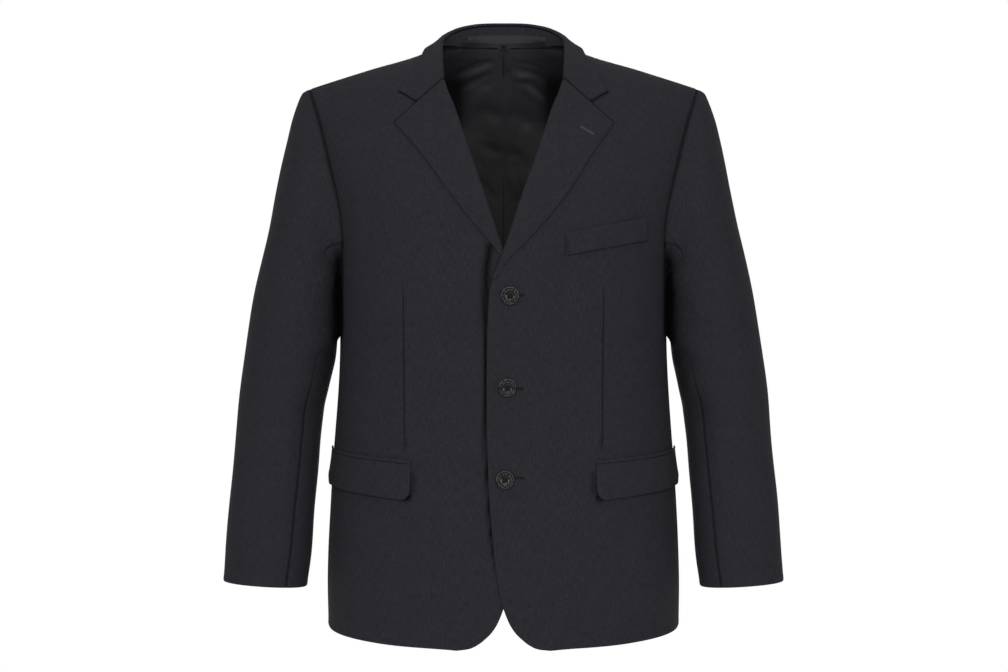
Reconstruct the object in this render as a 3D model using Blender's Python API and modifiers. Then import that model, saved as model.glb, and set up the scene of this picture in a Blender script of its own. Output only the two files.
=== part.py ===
# A single-breasted blazer with three buttons, filled out as if worn, with nobody in it.
# Metres, +Z up. The front faces -Y and the wearer's left is +X. The origin lies between the
# neck ends of the two shoulder seams, where the garment is held.
# Every cloth piece is a grid bent to the garment's form and given a wall.

import math

import bmesh
import bpy
import numpy as np
from mathutils import Vector

# ---- Driving dimensions -------------------------------------------------------------------

WALL = 0.0018            # cloth with its interlining
LINING_WALL = 0.0012
LINING_LAYER = 0.0023    # between the middles of the back and its lining
LINING_INSET = 0.004
LINING_CENTRE = np.array((0.08, 0.0, -0.30))
BAND_WALL = 0.0012
SEAM = 0.0005            # gap between two pieces joined at a seam
WIDE_SEAM = 0.0010       # the same where the two pieces meet at a sharper angle
LAYER = WALL + 0.0009    # from one layer's middle to that of the next one lying on it

ROUND = 2.4              # squareness of the body's sections
RIDGE_Y = 0.004          # the shoulder seams lie this far behind the middle
FRONT_DROP = 0.22        # height over which the front rounds off to the shoulder seam
BACK_DROP = 0.13
RIDGE_POWER = 0.625

FRONT_SEAM = math.radians(77.8)     # turn from the centre front to the side panel
BACK_SEAM = math.radians(117.6)     # and to the back
UNDERARM_SAG = 0.0186               # how far the armhole dips between those two seams

ROLL = 0.0025            # radius of the lapel's and the collar's fold
ROLL_END = 0.0016        # and at the lapel's lower end
ROLL_LOW = -0.275        # between these heights the radius grows
ROLL_FULL = -0.215
ROLL_ANGLES = (8, 50, 90, 135, 180)
EDGE_TURN = (-0.308, -0.292)        # here the front's own edge gives way to the roll
SETTLING = 0.7           # how soon the lapel comes down onto the front past its fold
BASE = 0.008             # reach past the fold that sets the roll's direction
SLOPE_STEP = 0.003
FOLD_GAP = 0.0010        # between the front's edge and the lapel's roll

BUTTON_RADIUS = 0.011
BUTTON_THICKNESS = 0.0036
BUTTON_HOLE = 0.0011
HOLE_REACH = 0.00216     # from the button's middle to a hole's
BUTTON_STEPS = 18
# Half the button's outline as shares of its radius and thickness, from the top's middle.
BUTTON_PROFILE = ((0.0, 0.62), (0.40, 0.62), (0.62, 0.70), (0.72, 0.98), (0.86, 1.0), (0.97, 0.80),
                  (1.0, 0.50), (0.90, 0.14), (0.62, 0.0), (0.0, 0.0))

CLOTH = (0.027, 0.026, 0.032)
LINING = (0.015, 0.015, 0.018)
BAND = (0.09, 0.09, 0.10)
HORN = (0.030, 0.029, 0.031)


# A table has named columns and a row for each section. Its first column rises.
def table(columns, *rows):
    return {name: np.array(values, dtype=float) for name, values in zip(columns.split(), zip(*rows))}


TORSO = table(
    "height half_width front_depth back_depth",
    (-0.760, 0.2190, 0.1340, 0.1240),
    (-0.716, 0.2192, 0.1340, 0.1240),
    (-0.659, 0.2200, 0.1330, 0.1220),
    (-0.621, 0.2190, 0.1320, 0.1190),
    (-0.565, 0.2162, 0.1310, 0.1120),
    (-0.508, 0.2128, 0.1300, 0.1040),
    (-0.470, 0.2098, 0.1300, 0.1000),
    (-0.432, 0.2070, 0.1310, 0.0980),
    (-0.376, 0.2045, 0.1350, 0.1020),
    (-0.330, 0.2042, 0.1380, 0.1090),
    (-0.285, 0.2055, 0.1390, 0.1170),
    (-0.244, 0.2105, 0.1380, 0.1220),
    (-0.200, 0.2200, 0.1370, 0.1260),
    (-0.146, 0.2350, 0.1350, 0.1260),
    (-0.087, 0.2520, 0.1350, 0.1200),
    (-0.047, 0.2620, 0.1350, 0.1120),
    (0.060, 0.2700, 0.1350, 0.1000))

SHOULDER = table(
    "out height",
    (0.000, 0.0460),
    (0.030, 0.0400),
    (0.055, 0.0250),
    (0.080, 0.0070),
    (0.096, -0.0005),
    (0.170, -0.0235),
    (0.245, -0.0470),
    (0.300, -0.0650))

BACK_NECK = table(
    "out height",
    (0.000, 0.0130),
    (0.030, 0.0125),
    (0.055, 0.0110),
    (0.080, 0.0070))

# The front's own edge: rounded corner, closing edge, then the fold of the lapel and collar.
FRONT_EDGE = table(
    "height out",
    (-0.7345, 0.0565),
    (-0.7322, 0.0405),
    (-0.7265, 0.0300),
    (-0.7180, 0.0220),
    (-0.7050, 0.0125),
    (-0.6893, 0.0045),
    (-0.6640, -0.0040),
    (-0.6437, -0.0080),
    (-0.6110, -0.0118),
    (-0.5700, -0.0160),
    (-0.5300, -0.0182),
    (-0.3300, -0.0185),
    (-0.2990, -0.0172),
    (-0.2780, -0.0082),
    (-0.2565, 0.0000),
    (-0.1960, 0.0200),
    (-0.1285, 0.0435),
    (-0.0795, 0.0600),
    (-0.0430, 0.0735),
    (-0.0250, 0.0752),
    (-0.0060, 0.0766),
    (0.0070, 0.0770))

FRONT_ROWS = table(
    "row edge_height side_height",
    (0, -0.7345, -0.7161),
    (1, -0.7322, -0.7060),
    (2, -0.7265, -0.6940),
    (3, -0.7180, -0.6830),
    (4, -0.7060, -0.6710),
    (5, -0.6893, -0.6570),
    (6, -0.6660, -0.6380),
    (7, -0.6340, -0.6120),
    (10, -0.5250, -0.5080),
    (13, -0.4120, -0.3950),
    (16, -0.2990, -0.2720))
FRONT_UPPER_ROWS = 12
FRONT_COLUMNS = 13
BACK_UPPER_ROWS = 10
BACK_COLUMNS = 9
SIDE_COLUMNS = 6
RISE_POWER = 3           # rows above the armhole bend up to the shoulder at their top
BACK_START = -0.290      # height at the centre back of the row that meets the armhole

FRONT_ARMHOLE = table(
    "height out",
    (-0.272, 0.2034),
    (-0.244, 0.1983),
    (-0.200, 0.2022),
    (-0.146, 0.2147),
    (-0.087, 0.2306),
    (-0.047, 0.2450))

BACK_ARMHOLE = table(
    "height out",
    (-0.262, 0.1905),
    (-0.220, 0.1920),
    (-0.170, 0.2015),
    (-0.120, 0.2155),
    (-0.087, 0.2275),
    (-0.047, 0.2450))

HEM = table(
    "turn height",
    (FRONT_SEAM, -0.7161),
    (BACK_SEAM, -0.7085),
    (math.pi, -0.7050))

# How far the wearer's left front lies out over the right one, near the centre.
OVERLAP = table(
    "height lift",
    (-0.760, 0.0033),
    (-0.450, 0.0033),
    (-0.390, 0.0033),
    (-0.350, 0.0037),
    (-0.300, 0.0050),
    (-0.275, 0.0062),
    (-0.250, 0.0062),
    (-0.215, 0.0030),
    (-0.180, 0.0000),
    (0.060, 0.0000))
OVERLAP_FULL = 0.032
OVERLAP_NONE = 0.080

# Rows of a lapel run from the fold to its outer edge, which bends at the notch.
LAPEL_OVER = table(
    "fold_height edge_out edge_height",
    (-0.2900, -0.0088, -0.2905),
    (-0.2750, 0.0005, -0.2735),
    (-0.2500, 0.0190, -0.2540),
    (-0.2150, 0.0460, -0.2245),
    (-0.1700, 0.0775, -0.1855),
    (-0.1250, 0.1030, -0.1445),
    (-0.0850, 0.1225, -0.1155),
    (-0.0430, 0.1352, -0.0962))
LAPEL_UNDER = table(
    "fold_height edge_out edge_height",
    (-0.2690, 0.0005, -0.2670),
    (-0.2500, 0.0118, -0.2505),
    (-0.2150, 0.0385, -0.2200),
    (-0.1700, 0.0690, -0.1790),
    (-0.1250, 0.0985, -0.1385),
    (-0.0850, 0.1195, -0.1125),
    (-0.0430, 0.1346, -0.0958))
LAPEL_ROWS = 16
LAPEL_COLUMNS = 10
ROLL_POINTS = len(ROLL_ANGLES)

# Half of the collar from the centre back to where it meets the front: the neck seam, the
# fold, the leaf's edge and the way the leaf faces.
COLLAR = table(
    "station seam_x seam_y seam_z fold_x fold_y fold_z edge_x edge_y edge_z face_x face_y face_z",
    (0, 0.0000, 0.0655, 0.0145, 0.0000, 0.0730, 0.0450, 0.0000, 0.0850, -0.0050, 0.00, 0.98, 0.20),
    (1, 0.0300, 0.0592, 0.0139, 0.0300, 0.0670, 0.0435, 0.0390, 0.0775, -0.0055, 0.28, 0.93, 0.22),
    (2, 0.0540, 0.0416, 0.0126, 0.0565, 0.0475, 0.0360, 0.0700, 0.0535, -0.0050, 0.62, 0.72, 0.30),
    (3, 0.0735, 0.0184, 0.0100, 0.0725, 0.0225, 0.0245, 0.0890, 0.0300, 0.0000, 0.78, 0.35, 0.52),
    (4, 0.0800, -0.0080, 0.0064, 0.0768, -0.0060, 0.0135, 0.0990, -0.0060, 0.0028, 0.60, -0.25, 0.76),
    (5, 0.0815, -0.0400, -0.0060, 0.0766, -0.0380, -0.0060, 0.1090, -0.0430, -0.0220, 0.42, -0.60, 0.68))
# From there to the gorge the collar lies on the front as the lapel does.
COLLAR_FRONT = table(
    "station fold_height edge_out edge_height",
    (4, 0.0070, 0.0990, -0.0030),
    (5, -0.0060, 0.1090, -0.0220),
    (6, -0.0250, 0.1190, -0.0390),
    (7, -0.0430, 0.1304, -0.0560))
COLLAR_END = 7.0
NOTCH_START = 5.6        # from here the leaf's rows bend toward the notch
STAND_END = 4.0
STAND_GAP = 0.0018       # between the stand's top and the fold
NOTCH = (0.1058, -0.0705)
COLLAR_ROWS = 14

SLEEVE_OUTER = table(
    "height out",
    (-0.6625, 0.3483),
    (-0.6561, 0.3474),
    (-0.6191, 0.3459),
    (-0.5820, 0.3436),
    (-0.5261, 0.3390),
    (-0.4698, 0.3345),
    (-0.4321, 0.3314),
    (-0.3754, 0.3245),
    (-0.3188, 0.3156),
    (-0.2621, 0.3038),
    (-0.2054, 0.2908),
    (-0.1487, 0.2805),
    (-0.1109, 0.2720),
    (-0.0920, 0.2675),
    (-0.0731, 0.2617),
    (-0.0655, 0.2590),
    (-0.0580, 0.2562),
    (-0.0515, 0.2525),
    (-0.0470, 0.2450))

SLEEVE_INNER = table(
    "height out",
    (-0.6695, 0.2464),
    (-0.6561, 0.2436),
    (-0.6191, 0.2406),
    (-0.5820, 0.2382),
    (-0.5261, 0.2341),
    (-0.4698, 0.2297),
    (-0.4321, 0.2232),
    (-0.3754, 0.2120),
    (-0.3400, 0.2116),
    (-0.3100, 0.2130),
    (-0.2950, 0.2136),
    (-0.2855, 0.2134))

SLEEVE = table(
    "ring outer_height inner_height half_depth middle round_top round_under",
    (0, -0.0470, -0.2855, 0.0675, 0.0035, 1.50, 3.00),
    (1, -0.0525, -0.2885, 0.0690, 0.0035, 1.62, 2.90),
    (2, -0.0670, -0.2940, 0.0700, 0.0035, 1.75, 2.75),
    (3, -0.0930, -0.3020, 0.0708, 0.0040, 1.90, 2.60),
    (4, -0.1300, -0.3110, 0.0715, 0.0040, 2.00, 2.45),
    (5, -0.1800, -0.3220, 0.0722, 0.0040, 2.08, 2.35),
    (6, -0.2350, -0.3370, 0.0718, 0.0040, 2.12, 2.25),
    (7, -0.2900, -0.3590, 0.0708, 0.0030, 2.15, 2.20),
    (8, -0.3450, -0.3900, 0.0690, 0.0020, 2.15, 2.15),
    (9, -0.3950, -0.4240, 0.0662, 0.0010, 2.15, 2.15),
    (10, -0.4450, -0.4640, 0.0635, -0.0010, 2.15, 2.15),
    (11, -0.5000, -0.5130, 0.0600, -0.0070, 2.15, 2.15),
    (12, -0.5550, -0.5650, 0.0565, -0.0150, 2.15, 2.15),
    (13, -0.6100, -0.6185, 0.0530, -0.0230, 2.15, 2.15),
    (14, -0.6625, -0.6695, 0.0505, -0.0285, 2.15, 2.15))
SLEEVE_ROWS = 20
SLEEVE_SPREAD = 1.2      # rows lie closer together near the armhole
EVEN_RINGS = 5.0         # columns are evenly spread below these rings
SLEEVE_RADIUS = 0.055
SLEEVE_HEART = np.array((0.30, 0.0, -0.17))
TURN_STEP = 0.004
SHARPEST = math.radians(148)        # the sharpest turn that the armhole's gap allows for
SLEEVE_ROOM = 0.0014     # more room where the sleeve turns down over the side panel's edge
CAP_RINGS = 5.0          # the armhole's bowed outline fades out over these rings at the top
UNDERARM_RINGS = 1.2     # and over these under the arm

# Seams of a sleeve as a share of the way round it, from the top over the front.
SLEEVE_SEAMS = table(
    "ring front back",
    (0, 0.352, 0.690),
    (7, 0.375, 0.680),
    (10, 0.362, 0.672),
    (14, 0.345, 0.664))

# Soft hollows of the sleeves: where, how deep and how wide along and round the sleeve.
SLEEVE_FOLDS = table(
    "ring turn depth along round",
    (7.2, 0.330, 0.0035, 0.55, 0.060),
    (8.6, 0.300, 0.0030, 0.45, 0.070),
    (9.7, 0.380, 0.0035, 0.40, 0.060),
    (10.8, 0.620, 0.0030, 0.60, 0.060),
    (12.2, 0.200, 0.0015, 0.70, 0.050))

FLAP_TOP = table("turn height", (0, -0.5135), (1, -0.4995))
FLAP_DEPTH = table("turn depth", (0, 0.0425), (1, 0.0400))
FLAP_FROM = 0.110        # the flap's front end, out from the centre
FLAP_TO = math.radians(83.0)
FLAP_LENGTH = 0.155
FLAP_CORNER = 0.012      # length of its rounded lower corners
FLAP_CORNER_RISE = 0.0084
FLAP_SLANT = 0.035       # turn by which the front end slants back
FLAP_KICK = 0.0022       # how far its lower edge stands off
FLAP_COLUMNS = 11
FLAP_ROWS = 6
JET_HEIGHT = 0.0042

WELT_CORNERS = table(
    "along out low high",
    (0, 0.0750, -0.2612, -0.2338),
    (1, 0.1752, -0.2416, -0.2141))

WELT_LIFT = 0.0034

BUTTONS = table(
    "place out height",
    (0, 0.0078, -0.3096),
    (1, 0.0048, -0.4203),
    (2, 0.0018, -0.5314))
BUTTON_NAMES = ("button_top", "button_middle", "button_bottom")

BAND_FROM = -0.0455
BAND_TO = 0.0545
BAND_COLUMNS = 9
BAND_LAYER = 0.0022       # between the middles of the stand and the band
BAND_LOW_MIDDLE = 0.08   # the band's lower edge, as a share of the stand's height
BAND_LOW_END = 0.26
BAND_HIGH = 0.56


# ---- Reading tables and shaping numbers ---------------------------------------------------

def smooth(rows, column, at):
    # A smooth curve through one column, held flat past both ends.
    known = next(iter(rows.values()))
    wanted = rows[column]
    at = np.clip(at, known[0], known[-1])
    if len(known) == 2:
        return np.interp(at, known, wanted)
    slope = np.gradient(wanted, known)
    cell = np.clip(np.searchsorted(known, at, side="right") - 1, 0, len(known) - 2)
    span = known[cell + 1] - known[cell]
    step = (at - known[cell]) / span
    back = 1 - step
    return ((1 + 2 * step) * back ** 2 * wanted[cell] + step * back ** 2 * span * slope[cell]
            + (3 - 2 * step) * step ** 2 * wanted[cell + 1] - step ** 2 * back * span * slope[cell + 1])


def mix(start, end, share):
    return start + (end - start) * share


def ease(value, start, end):
    share = np.clip((value - start) / (end - start), 0, 1)
    return share * share * (3 - 2 * share)


def unit(vector):
    return vector / np.linalg.norm(vector, axis=-1, keepdims=True)


# ---- The body's form ----------------------------------------------------------------------

def shoulder_height(out):
    return smooth(SHOULDER, "height", np.abs(out))


def turn_at(out, height):
    # The turn from the centre front at which the section reaches this far out.
    share = np.clip(np.abs(out) / smooth(TORSO, "half_width", height), 0, 1)
    return np.sign(out) * np.arctan2(share, (1 - share ** ROUND) ** (1 / ROUND))


def out_at(turn, height):
    radius = (np.abs(np.sin(turn)) ** ROUND + np.abs(np.cos(turn)) ** ROUND) ** (-1 / ROUND)
    return smooth(TORSO, "half_width", height) * radius * np.sin(turn)


def body_y(out, height, front, lift=0.0):
    # How far forward (front) or back the cloth lies, moved out by lift.
    half = smooth(TORSO, "half_width", height) + lift
    deep = smooth(TORSO, "front_depth" if front else "back_depth", height) + lift
    profile = (1 - np.clip(np.abs(out) / half, 0, 1) ** ROUND) ** (1 / ROUND)
    drop = FRONT_DROP if front else BACK_DROP
    below = np.clip((shoulder_height(out) + lift - height) / drop, 0, 1)
    rise = (1 - (1 - below) ** 2) ** RIDGE_POWER
    reach = -deep * profile if front else deep * profile
    return RIDGE_Y * (1 - rise) + reach * rise


def body_point(turn, height, lift=0.0):
    radius = (np.abs(np.sin(turn)) ** ROUND + np.abs(np.cos(turn)) ** ROUND) ** (-1 / ROUND)
    out = (smooth(TORSO, "half_width", height) + lift) * radius * np.sin(turn)
    front = np.cos(turn) > 0
    deep = np.where(front, smooth(TORSO, "front_depth", height), smooth(TORSO, "back_depth", height))
    drop = np.where(front, FRONT_DROP, BACK_DROP)
    below = np.clip((shoulder_height(out) + lift - height) / drop, 0, 1)
    rise = (1 - (1 - below) ** 2) ** RIDGE_POWER
    y = RIDGE_Y * (1 - rise) - (deep + lift) * radius * np.cos(turn) * rise
    return np.stack(np.broadcast_arrays(out, y, height), axis=-1)


def front_point(out, height, lift=0.0):
    return np.stack(np.broadcast_arrays(out, body_y(out, height, True, lift), height), axis=-1)


def back_point(out, height, lift=0.0):
    return np.stack(np.broadcast_arrays(out, body_y(out, height, False, lift), height), axis=-1)


def overlap(out, height, over):
    # The wearer's left front is lifted over the right one.
    if not over:
        return 0.0
    return smooth(OVERLAP, "lift", height) * (1 - ease(out, OVERLAP_FULL, OVERLAP_NONE))


def front_normal(out, height, over):
    # Square to the front's surface, pointing away from the body.
    def at(x, z):
        return front_point(x, z, float(overlap(x, z, over)))
    across = at(out + SLOPE_STEP, height) - at(out - SLOPE_STEP, height)
    upward = at(out, height + SLOPE_STEP) - at(out, height - SLOPE_STEP)
    return unit(np.cross(across, upward))


def roll_radius(height):
    return mix(ROLL_END, ROLL, ease(height, ROLL_LOW, ROLL_FULL))


def armhole_top(turn):
    # Height of the armhole's edge where the side panel carries it.
    share = (turn - FRONT_SEAM) / (BACK_SEAM - FRONT_SEAM)
    low, high = FRONT_ARMHOLE["height"][0], BACK_ARMHOLE["height"][0]
    return mix(low, high, share) - UNDERARM_SAG * 4 * share * (1 - share)


# ---- Making a piece -----------------------------------------------------------------------

def material(name, colour, roughness):
    made = bpy.data.materials.new(name)
    made.use_nodes = True
    surface = made.node_tree.nodes["Principled BSDF"]
    surface.inputs["Base Color"].default_value = (*colour, 1.0)
    surface.inputs["Roughness"].default_value = roughness
    surface.inputs["Metallic"].default_value = 0.0
    return made


def mirrored(points):
    return points * np.array((-1.0, 1.0, 1.0))


def cloth(name, points, wall, look):
    # A grid of the points' rows and columns, thickened evenly to both sides.
    rows, columns = points.shape[:2]
    shape = bmesh.new()
    bmesh.ops.create_grid(shape, x_segments=columns - 1, y_segments=rows - 1, size=0.5)
    for vert in shape.verts:
        row = round((vert.co.y + 0.5) * (rows - 1))
        column = round((vert.co.x + 0.5) * (columns - 1))
        vert.co = points[row, column]
    mesh = bpy.data.meshes.new(name)
    shape.to_mesh(mesh)
    shape.free()
    mesh.shade_smooth()
    mesh.materials.append(look)
    part = bpy.data.objects.new(name, mesh)
    blazer.objects.link(part)
    thick = part.modifiers.new("Wall", "SOLIDIFY")
    thick.thickness = wall
    thick.offset = 0.0
    thick.use_even_offset = True
    return part


def inset(points, start=0.0, end=0.0, axis=1):
    # Draws the first and last columns (or rows) in by half a seam's gap.
    drawn = np.array(points if axis == 1 else points.transpose(1, 0, 2))
    drawn[:, 0] += unit(drawn[:, 1] - drawn[:, 0]) * start
    drawn[:, -1] += unit(drawn[:, -2] - drawn[:, -1]) * end
    return drawn if axis == 1 else drawn.transpose(1, 0, 2)


# ---- Body panels --------------------------------------------------------------------------

def row_shares():
    # Rows of all body panels, as shares of the way from the hem to the armhole.
    heights = smooth(FRONT_ROWS, "side_height", np.arange(int(FRONT_ROWS["row"][-1]) + 1))
    return (heights - heights[0]) / (heights[-1] - heights[0])


def front(over):
    count = np.arange(int(FRONT_ROWS["row"][-1]) + 1)
    climb = np.sin(np.linspace(0, math.pi / 2, FRONT_UPPER_ROWS + 1)[1:])
    climb = np.insert(climb, 0, climb[0] / 2)
    start_edge, start_side = FRONT_ROWS["edge_height"][-1], FRONT_ROWS["side_height"][-1]
    neck, tip = SHOULDER["height"][3], FRONT_ARMHOLE["height"][-1]
    edge = np.concatenate([smooth(FRONT_ROWS, "edge_height", count), mix(start_edge, neck, climb)])
    side = np.concatenate([smooth(FRONT_ROWS, "side_height", count), mix(start_side, tip, climb)])
    raised = np.concatenate([np.zeros(len(count)), climb])[:, None]

    inner = smooth(FRONT_EDGE, "out", edge)
    inner = inner + ease(edge, *EDGE_TURN) * (roll_radius(edge) + FOLD_GAP)
    outer = np.where(side > start_side, turn_at(smooth(FRONT_ARMHOLE, "out", side), side), FRONT_SEAM)

    share = np.linspace(0, 1, FRONT_COLUMNS)[None, :]
    level = mix(edge[:, None], side[:, None], share)
    turn = mix(turn_at(inner, edge)[:, None], outer[:, None], share)
    out = out_at(turn, level)
    ridge = mix(shoulder_height(inner)[:, None], shoulder_height(out[:, -1])[:, None], share)
    height = level + raised ** RISE_POWER * (shoulder_height(out) - ridge)
    points = front_point(out, height, overlap(out, height, over))
    points = inset(points, end=SEAM / 2)
    points[-1, :, 1] -= WIDE_SEAM / 2
    return points


def back():
    low_centre, low_side = HEM["height"][-1], HEM["height"][1]
    start_centre, start_side = BACK_START, BACK_ARMHOLE["height"][0]
    top_centre, tip = BACK_NECK["height"][0], BACK_ARMHOLE["height"][-1]
    rows = row_shares()
    climb = np.sin(np.linspace(0, math.pi / 2, BACK_UPPER_ROWS + 1)[1:])
    centre = np.concatenate([mix(low_centre, start_centre, rows), mix(start_centre, top_centre, climb)])
    side = np.concatenate([mix(low_side, start_side, rows), mix(start_side, tip, climb)])
    raised = np.concatenate([np.zeros(len(rows)), climb])[:, None]
    outer = np.where(side > start_side, math.pi - turn_at(smooth(BACK_ARMHOLE, "out", side), side), BACK_SEAM)

    share = np.linspace(0, 1, BACK_COLUMNS)[None, :]
    level = mix(centre[:, None], side[:, None], share)
    turn = mix(math.pi, outer[:, None], share)
    out = out_at(turn, level)
    top = np.minimum(shoulder_height(out), smooth(BACK_NECK, "height", out))
    top = np.where(out > BACK_NECK["out"][-1], shoulder_height(out), top)
    straight = mix(top_centre, shoulder_height(out[:, -1])[:, None], share)
    height = level + raised ** RISE_POWER * (top - straight)
    points = back_point(out, height)
    points = inset(points, start=SEAM / 2, end=SEAM / 2)
    points[-1, :, 1] += WIDE_SEAM / 2
    return points


def side():
    share = np.linspace(0, 1, SIDE_COLUMNS)[None, :]
    rows = row_shares()[:, None]
    turn = mix(FRONT_SEAM, BACK_SEAM, share)
    height = mix(smooth(HEM, "height", turn), armhole_top(turn), rows)
    return inset(body_point(turn, height), start=SEAM / 2, end=SEAM / 2)


# ---- Sleeves ------------------------------------------------------------------------------

def armhole_corners():
    # The panels' corners round the armhole, from the shoulder down the front and up the back.
    start = int(FRONT_ROWS["row"][-1])
    before, behind = front(False)[start:, -1], back()[start:, -1]
    under = side()[-1, 1:-1]
    corners = np.concatenate([before[::-1], under, behind])
    steps = np.concatenate([[0], np.cumsum(np.linalg.norm(np.diff(corners, axis=0), axis=1))])
    lowest = steps[np.argmin(corners[:, 2])]
    share = np.interp(steps, (0, lowest, steps[-1]), (0, 0.5, 1))
    return corners, share


def armhole_at(turn):
    corners, share = ARMHOLE
    return np.stack([np.interp(turn % 1.0, share, corners[:, axis]) for axis in range(3)], axis=-1)


def ring_ends(ring):
    # The outer and inner ends of a ring, seen from the front.
    high, low = smooth(SLEEVE, "outer_height", ring), smooth(SLEEVE, "inner_height", ring)
    outer = np.stack([smooth(SLEEVE_OUTER, "out", high), high], axis=-1)
    inner = np.stack([smooth(SLEEVE_INNER, "out", low), low], axis=-1)
    return outer, inner


def ring_point(sweep, ring, hollow=0.0):
    # A point of the sleeve's plain rings, the sweep going round from the top over the front.
    outer, inner = ring_ends(ring)
    top, under = smooth(SLEEVE, "round_top", ring), smooth(SLEEVE, "round_under", ring)
    power = np.where(np.cos(sweep) > 0, top, under)
    radius = (np.abs(np.sin(sweep)) ** power + np.abs(np.cos(sweep)) ** power) ** (-1 / power)
    reach = radius * (1 - hollow / SLEEVE_RADIUS)
    flat = (outer + inner) / 2 + (outer - inner) / 2 * (reach * np.cos(sweep))[..., None]
    y = smooth(SLEEVE, "middle", ring) - smooth(SLEEVE, "half_depth", ring) * reach * np.sin(sweep)
    return np.stack([flat[..., 0], y, flat[..., 1]], axis=-1)


def armhole_sweep(turn):
    # The sweep at which the first ring comes nearest the armhole's point.
    here = armhole_at(turn)
    outer, inner = ring_ends(np.zeros(1))
    half, middle = (outer[0] - inner[0]) / 2, (outer[0] + inner[0]) / 2
    flat = here[..., (0, 2)] - middle
    along = (flat @ half) / (half @ half)
    across = (SLEEVE["middle"][0] - here[..., 1]) / SLEEVE["half_depth"][0]
    return np.arctan2(across, along) % (2 * math.pi)


def sleeve_hollow(turn, ring):
    hollow = np.zeros(np.shape(turn))
    for place, angle, depth, along, around in zip(*SLEEVE_FOLDS.values()):
        apart = (turn - angle + 0.5) % 1.0 - 0.5
        hollow = hollow + depth * np.exp(-((ring - place) / along) ** 2 - (apart / around) ** 2)
    return hollow


def sleeve_point(turn, ring):
    turn, ring = np.broadcast_arrays(turn, ring)
    around = turn % 1.0
    start = armhole_sweep(around)
    start = start - 2 * math.pi * np.round((start - 2 * math.pi * around) / (2 * math.pi))
    fade = (1 - np.clip(ring / CAP_RINGS, 0, 1)) ** 2
    sweep = mix(2 * math.pi * around, start, fade)
    bow = armhole_at(around) - ring_point(start, np.zeros(ring.shape))
    length = mix(UNDERARM_RINGS, CAP_RINGS, np.cos(math.pi * around) ** 2)
    bow_fade = (1 - np.clip(ring / length, 0, 1)) ** 2
    return ring_point(sweep, ring, sleeve_hollow(around, ring)) + bow * bow_fade[..., None]


def armhole_gap(turn, ring):
    # Where the sleeve starts: past the body's edge by the room that the two walls need.
    here = armhole_at(turn)
    along = unit(armhole_at(turn + TURN_STEP) - armhole_at(turn - TURN_STEP))
    leaving = sleeve_point(turn, np.full(turn.shape, ring)) - here
    leaving = unit(leaving - along * np.sum(leaving * along, axis=-1, keepdims=True))
    near = turn_at(here[:, 0], here[:, 2])
    near = np.where(here[:, 1] < 0, near, math.pi - near)
    across = body_point(near + TURN_STEP, here[:, 2]) - body_point(near - TURN_STEP, here[:, 2])
    upward = body_point(near, here[:, 2] + SLOPE_STEP) - body_point(near, here[:, 2] - SLOPE_STEP)
    off_edge = unit(np.cross(along, unit(np.cross(across, upward))))
    inside = SLEEVE_HEART - here
    off_edge = off_edge * np.sign(np.sum(off_edge * inside, axis=-1, keepdims=True))
    bend = np.minimum(np.arccos(np.clip(np.sum(off_edge * leaving, axis=-1), -1, 1)), SHARPEST)
    return off_edge * (SEAM / 2 + WALL / 2 * np.tan(bend / 2) + SLEEVE_ROOM * np.sin(bend))[:, None]


def nearest_corner(turn):
    share = ARMHOLE[1]
    return share[np.argmin(np.abs(share - turn))]


def sleeve_panel(first, last):
    # A strip of the sleeve between two seams. It starts at the armhole's own corners and
    # evens out below.
    share = ARMHOLE[1]
    low, high = (nearest_corner(smooth(SLEEVE_SEAMS, seam, 0)) for seam in (first, last))
    over_top = low > high
    if over_top:
        picked = np.concatenate([share[(share >= low) & (share < 1)] - 1, share[share <= high]])
    else:
        picked = share[(share >= low) & (share <= high)]
    ring = SLEEVE["ring"][-1] * (np.linspace(0, 1, SLEEVE_ROWS) ** SLEEVE_SPREAD)[:, None]
    begin = smooth(SLEEVE_SEAMS, first, ring) - over_top
    end = smooth(SLEEVE_SEAMS, last, ring)
    even = mix(begin, end, np.linspace(0, 1, len(picked))[None, :])
    fade = (1 - np.clip(ring / EVEN_RINGS, 0, 1)) ** 2
    points = sleeve_point(mix(even, picked[None, :], fade), ring)
    points[0] = points[0] + armhole_gap(picked, ring[1, 0])
    return inset(points, start=WIDE_SEAM / 2, end=WIDE_SEAM / 2)


ARMHOLE = armhole_corners()


# ---- Lapels and collar --------------------------------------------------------------------

def rolled_row(fold, toward, face, edge, radius):
    # From the inside over the fold, then straight to the leaf's or lapel's edge.
    down = unit(toward - face * np.sum(toward * face))
    centre = fold + down * radius
    curl = [centre - face * radius * math.cos(a) - down * radius * math.sin(a)
            for a in np.radians(ROLL_ANGLES)]
    share = np.linspace(0, 1, LAPEL_COLUMNS - ROLL_POINTS + 1)[1:, None]
    return np.concatenate([np.array(curl), mix(curl[-1], edge, share)])


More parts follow.
